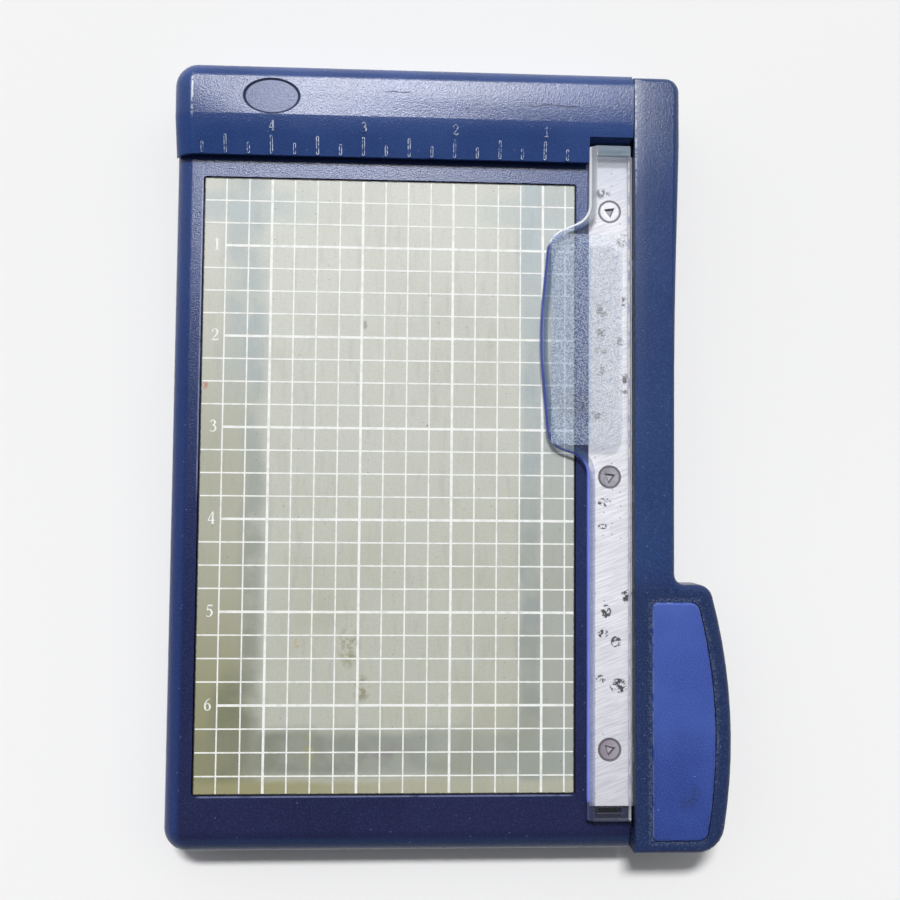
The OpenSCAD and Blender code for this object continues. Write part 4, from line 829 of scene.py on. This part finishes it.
# Numerals as pen strokes in a box of width 0.6 and height 1: place and pen width along each stroke
STROKES = {
    1: (
        ((0.13, 0.80, 0.05), (0.24, 0.86, 0.07), (0.32, 0.96, 0.09)),
        ((0.33, 0.99, 0.15), (0.33, 0.03, 0.15)),
        ((0.13, 0.03, 0.06), (0.53, 0.03, 0.06)),
    ),
    2: (
        (
            (0.08, 0.70, 0.11),
            (0.13, 0.87, 0.08),
            (0.28, 0.96, 0.07),
            (0.45, 0.88, 0.12),
            (0.50, 0.71, 0.15),
            (0.41, 0.49, 0.12),
            (0.24, 0.27, 0.08),
            (0.09, 0.09, 0.07),
        ),
        ((0.06, 0.06, 0.12), (0.54, 0.06, 0.12)),
        ((0.53, 0.08, 0.08), (0.57, 0.22, 0.05)),
    ),
    3: (
        (
            (0.09, 0.80, 0.10),
            (0.18, 0.93, 0.07),
            (0.32, 0.95, 0.08),
            (0.45, 0.81, 0.14),
            (0.41, 0.63, 0.11),
            (0.26, 0.54, 0.06),
        ),
        (
            (0.26, 0.55, 0.06),
            (0.44, 0.47, 0.11),
            (0.50, 0.29, 0.15),
            (0.42, 0.10, 0.11),
            (0.24, 0.03, 0.06),
            (0.07, 0.10, 0.10),
        ),
    ),
    4: (
        ((0.40, 0.97, 0.06), (0.05, 0.31, 0.06)),
        ((0.03, 0.29, 0.08), (0.59, 0.29, 0.08)),
        ((0.42, 0.99, 0.15), (0.42, 0.02, 0.15)),
        ((0.28, 0.03, 0.05), (0.56, 0.03, 0.05)),
    ),
    5: (
        ((0.17, 0.92, 0.13), (0.54, 0.92, 0.13)),
        ((0.19, 0.95, 0.06), (0.11, 0.55, 0.06)),
        (
            (0.11, 0.54, 0.06),
            (0.27, 0.62, 0.09),
            (0.43, 0.53, 0.13),
            (0.50, 0.33, 0.15),
            (0.42, 0.12, 0.11),
            (0.24, 0.03, 0.06),
            (0.07, 0.10, 0.10),
        ),
    ),
    6: (
        (
            (0.50, 0.95, 0.05),
            (0.30, 0.86, 0.08),
            (0.14, 0.62, 0.12),
            (0.10, 0.34, 0.15),
            (0.16, 0.12, 0.11),
            (0.30, 0.03, 0.06),
        ),
        (
            (0.30, 0.03, 0.06),
            (0.45, 0.12, 0.11),
            (0.50, 0.32, 0.15),
            (0.43, 0.52, 0.11),
            (0.30, 0.58, 0.06),
            (0.15, 0.48, 0.06),
        ),
    ),
}
# Middle of that box, steps between two places of a stroke, and lift of each stroke over the one before
NUMERAL_MIDDLE = (0.31, 0.5)
STEPS = 6
STROKE_LIFT = 3e-6


def smooth_stroke(points):
    """Points along a curve through the given ones."""
    if len(points) == 2:
        return [Vector(p) for p in points]
    whole = [Vector(p) for p in points]
    out = []
    for i in range(len(whole) - 1):
        before = whole[max(i - 1, 0)]
        a = whole[i]
        b = whole[i + 1]
        after = whole[min(i + 2, len(whole) - 1)]
        for k in range(STEPS):
            t = k / STEPS
            bend = (2 * before - 5 * a + 4 * b - after) * t**2 + (3 * a - before - 3 * b + after) * t**3
            out.append(a + 0.5 * ((b - before) * t + bend))
    out.append(whole[-1])
    return out


def pen_edges(stroke, to_row):
    """Left and right edge of a pen stroke of changing width."""
    left = []
    right = []
    for i, p in enumerate(stroke):
        along = stroke[min(i + 1, len(stroke) - 1)] - stroke[max(i - 1, 0)]
        across = Vector((-along.y, along.x)).normalized() * (p.z / 2)
        left.append(to_row(p.x + across.x, p.y + across.y))
        right.append(to_row(p.x - across.x, p.y - across.y))
    return left, right


def add_numeral(plates, digit, middle, height, on_face, thickness, lift):
    """Writes a numeral with its middle at the given place on a face."""
    for order, points in enumerate(STROKES[digit]):

        def to_row(x, y):
            u = middle[0] + (x - NUMERAL_MIDDLE[0]) * height
            v = middle[1] + (y - NUMERAL_MIDDLE[1]) * height
            return on_face(u, v) + lift * (order * STROKE_LIFT)

        left, right = pen_edges(smooth_stroke(points), to_row)
        plates.add_strip(left, right, thickness, lift)


def on_mat(x, y):
    return row(x, y, PRINT_Z)


MAT_NUMERAL_X = -116.8
MAT_NUMERAL_SHIFT = 0.3
MAT_NUMERAL_HEIGHT = 3.4
for number in range(1, 7):
    middle = (MAT_NUMERAL_X, MAT_NUMERAL_SHIFT - number * INCH)
    add_numeral(grid, number, middle, MAT_NUMERAL_HEIGHT, on_mat, PRINT_T, UP)

add_piece("printed_grid", grid.points, grid.faces, PRINT, "base")

# Raised numerals and worn tick rims with painted highlight on the ruler slope
slope = math.atan2(HEAD_TOP - LIP_TOP, SLOPE_END - LIP_Y)
slope_up = Vector((0, -math.sin(slope), math.cos(slope)))
TICK_START = 0.6
TICK_RISE = 0.25
TICK_HALF = 0.3
TICK_INSET = 0.1
SHORT_TICK = 2.4
LONG_TICK = 4.4
RULER_NUMERAL_SHIFT = 0.2
RULER_NUMERAL_UP = 7.9
RULER_NUMERAL_HEIGHT = 2.8
RULER_NUMERAL_T = 0.22 * MM


def on_slope(x, s):
    """Point at distance s up the ruler face."""
    return row(x, LIP_Y + s * math.cos(slope), LIP_TOP + s * math.sin(slope))


marks = Plates()
for number in range(1, 5):
    middle = (-number * INCH + RULER_NUMERAL_SHIFT, RULER_NUMERAL_UP)
    add_numeral(marks, number, middle, RULER_NUMERAL_HEIGHT, on_slope, RULER_NUMERAL_T, slope_up)
add_piece("ruler_marks", marks.points, marks.faces, NAVY_MARKS, "base")

# Worn rim with painted highlight round each tick: least half width, what waves add, how many, their turn
# per tick, and thickness
RIM_LEAST = 0.06
RIM_WAVE = 0.06
RIM_WAVES = 2.0
RIM_TURN = 2.1
RIM_T = 0.02 * MM
RIM_STEPS = 24
pale_highlight = Plates()
for k in range(3, 20):
    length = LONG_TICK if k % 2 == 0 else SHORT_TICK
    x = -k * QUARTER
    inner = []
    outer = []
    for i in range(RIM_STEPS + 1):
        a = 2 * math.pi * i / RIM_STEPS
        end = TICK_START + (length - TICK_INSET if math.sin(a) > 0 else TICK_INSET)
        pen = RIM_LEAST + RIM_WAVE * abs(math.sin(RIM_TURN * k + RIM_WAVES * a))
        for edge, side in ((inner, -1), (outer, 1)):
            reach = TICK_HALF + side * pen
            point = on_slope(x + reach * math.cos(a), end + reach * math.sin(a))
            edge.append(point + slope_up * TICK_RISE * MM)
    pale_highlight.add_strip(inner, outer, RIM_T, slope_up)
add_piece("worn_highlit_ticks", pale_highlight.points, pale_highlight.faces, NAVY_WORN_HIGHLIT, "base")

# Frosted finger patch on the guard
GUARD_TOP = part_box("pressure_guard")[1].z / MM
PATCH = ((-23.6, -80.4), (-3.6, -21.4))
PATCH_LEFT_R = 1.0
PATCH_RIGHT_R = 3.4
PATCH_Z = GUARD_TOP + 0.01
PATCH_T = 0.02 * MM
CORNER_STEPS = 8
patch = Plates()
outline = []
patch_corners = (
    (PATCH[0][0] + PATCH_LEFT_R, PATCH[0][1] + PATCH_LEFT_R, PATCH_LEFT_R, 180),
    (PATCH[1][0] - PATCH_RIGHT_R, PATCH[0][1] + PATCH_RIGHT_R, PATCH_RIGHT_R, 270),
    (PATCH[1][0] - PATCH_RIGHT_R, PATCH[1][1] - PATCH_RIGHT_R, PATCH_RIGHT_R, 0),
    (PATCH[0][0] + PATCH_LEFT_R, PATCH[1][1] - PATCH_LEFT_R, PATCH_LEFT_R, 90),
)
for cx, cy, radius, first in patch_corners:
    for i in range(CORNER_STEPS + 1):
        a = math.radians(first + 90 * i / CORNER_STEPS)
        outline.append(row(cx + radius * math.cos(a), cy + radius * math.sin(a), PATCH_Z))
patch.add(outline, PATCH_T, UP)
add_piece("frosted_patch", patch.points, patch.faces, FROSTED, "guard")

# Stage: the floor is lit round the part and fades into the even backdrop farther out
scene = bpy.context.scene
BACKDROP = (0.93, 0.93, 0.935)
FLOOR_REACH = 3.0
# Painted shade: the floor is darker to the rear, where the lamps light it more.
FLOOR_FRONT = (0.975, 0.975, 0.975)
FLOOR_REAR = (0.85, 0.85, 0.845)
FLOOR_CLOUD = (0.92, 0.92, 0.92)
FLOOR_SPAN = 0.2
FADE_FROM = 0.3
FADE_TO = 0.9


def floor_material():
    g = Graph("pale_floor")
    place = g.axes()
    color = g.mix(g.spread(place["Y"], -FLOOR_SPAN, FLOOR_SPAN), FLOOR_FRONT, FLOOR_REAR)
    color = g.mix(g.spread(g.noise(3.0, 2.0), 0.3, 0.7, 0.0, 0.15), color, FLOOR_CLOUD)
    lit = g.principled(color, 0.9, specular=0.0)
    glow = g.colored("ShaderNodeEmission", BACKDROP)
    away = g.math("SQRT", g.oval(place["X"], place["Y"], (0.0, 0.0)))
    return g.surface(g.blend_shaders(g.spread(away, FADE_FROM, FADE_TO), lit, glow))


floor_mesh = bpy.data.meshes.new("floor")
floor_corners = [
    (-FLOOR_REACH, -FLOOR_REACH, 0),
    (FLOOR_REACH, -FLOOR_REACH, 0),
    (FLOOR_REACH, FLOOR_REACH, 0),
    (-FLOOR_REACH, FLOOR_REACH, 0),
]
floor_mesh.from_pydata(floor_corners, [], [(0, 1, 2, 3)])
floor_mesh.materials.append(floor_material())
floor = bpy.data.objects.new("floor", floor_mesh)
scene.collection.objects.link(floor)

# Lamps: place and size in metres, power in watts
LAMP_AIM = Vector((0.0, 0.03, 0.0))
KEY_PLACE = (-0.2, 1.35, 2.4)
KEY_SIZE = (0.6, 0.26)
KEY_POWER = 64.0
PANEL_PLACE = (-0.2, 1.3, 2.4)
PANEL_SIZE = (1.2, 0.84)
PANEL_POWER = 63.0


def area_light(name, place, size, power):
    data = bpy.data.lights.new(name, "AREA")
    data.shape = "RECTANGLE"
    data.size = size[0]
    data.size_y = size[1]
    data.energy = power
    obj = bpy.data.objects.new(name, data)
    obj.location = place
    obj.rotation_mode = "QUATERNION"
    obj.rotation_quaternion = (LAMP_AIM - Vector(place)).to_track_quat("-Z", "Y")
    scene.collection.objects.link(obj)
    return obj


# The key lights the matt surfaces; the wider panel round it only shows as sheen.
key = area_light("key", KEY_PLACE, KEY_SIZE, KEY_POWER)
key.visible_glossy = False
panel = area_light("sheen_panel", PANEL_PLACE, PANEL_SIZE, PANEL_POWER)
panel.visible_diffuse = False

# World: the camera sees the even backdrop.
# Reflections show pale walls under a dimmer ceiling that reaches lower in front.
# Everything else is lit by a soft fill, stronger from the rear.
WALL = (0.45, 0.46, 0.48)
CEILING = (0.15, 0.153, 0.162)
WALL_END = 0.42
CEILING_START = 0.80
FRONT_DIP = 0.35
FILL_REAR = (0.50, 0.502, 0.51)
FILL_FRONT = (0.03, 0.031, 0.034)
FILL_SPAN = 0.5


def studio_world():
    g = Graph("studio", world=True)
    way = g.axes(g.coordinates["Generated"])
    ray = g.node("ShaderNodeLightPath").outputs
    height = g.math("SUBTRACT", way["Z"], g.times(way["Y"], FRONT_DIP))
    room = g.mix(g.spread(height, WALL_END, CEILING_START), WALL, CEILING)
    fill = g.mix(g.spread(way["Y"], -FILL_SPAN, FILL_SPAN), FILL_FRONT, FILL_REAR)
    mirrored = g.most(ray["Is Glossy Ray"], ray["Is Transmission Ray"])
    color = g.mix(mirrored, fill, room)
    color = g.mix(ray["Is Camera Ray"], color, BACKDROP)
    return g.surface(g.colored("ShaderNodeBackground", color))


scene.world = studio_world()

# Camera fitted to the printed grid
right = Vector((0.99887, 0.00813, 0.04678))
up = Vector((-0.01050, 0.99866, 0.05069))
back = Vector((-0.04631, -0.05113, 0.99762))
eye = row(-64.161, -96.247, 278.452 + MAT_TOP)
camera_data = bpy.data.cameras.new("camera")
camera_data.sensor_width = 36.0
camera_data.lens = 40.0
camera_data.clip_start = 0.01
camera_data.clip_end = 20.0
camera = bpy.data.objects.new("camera", camera_data)
scene.collection.objects.link(camera)
turn = Matrix((right, up, back)).transposed().to_4x4()
camera.matrix_world = Matrix.Translation(eye) @ turn
scene.camera = camera
scene.view_settings.view_transform = "Standard"
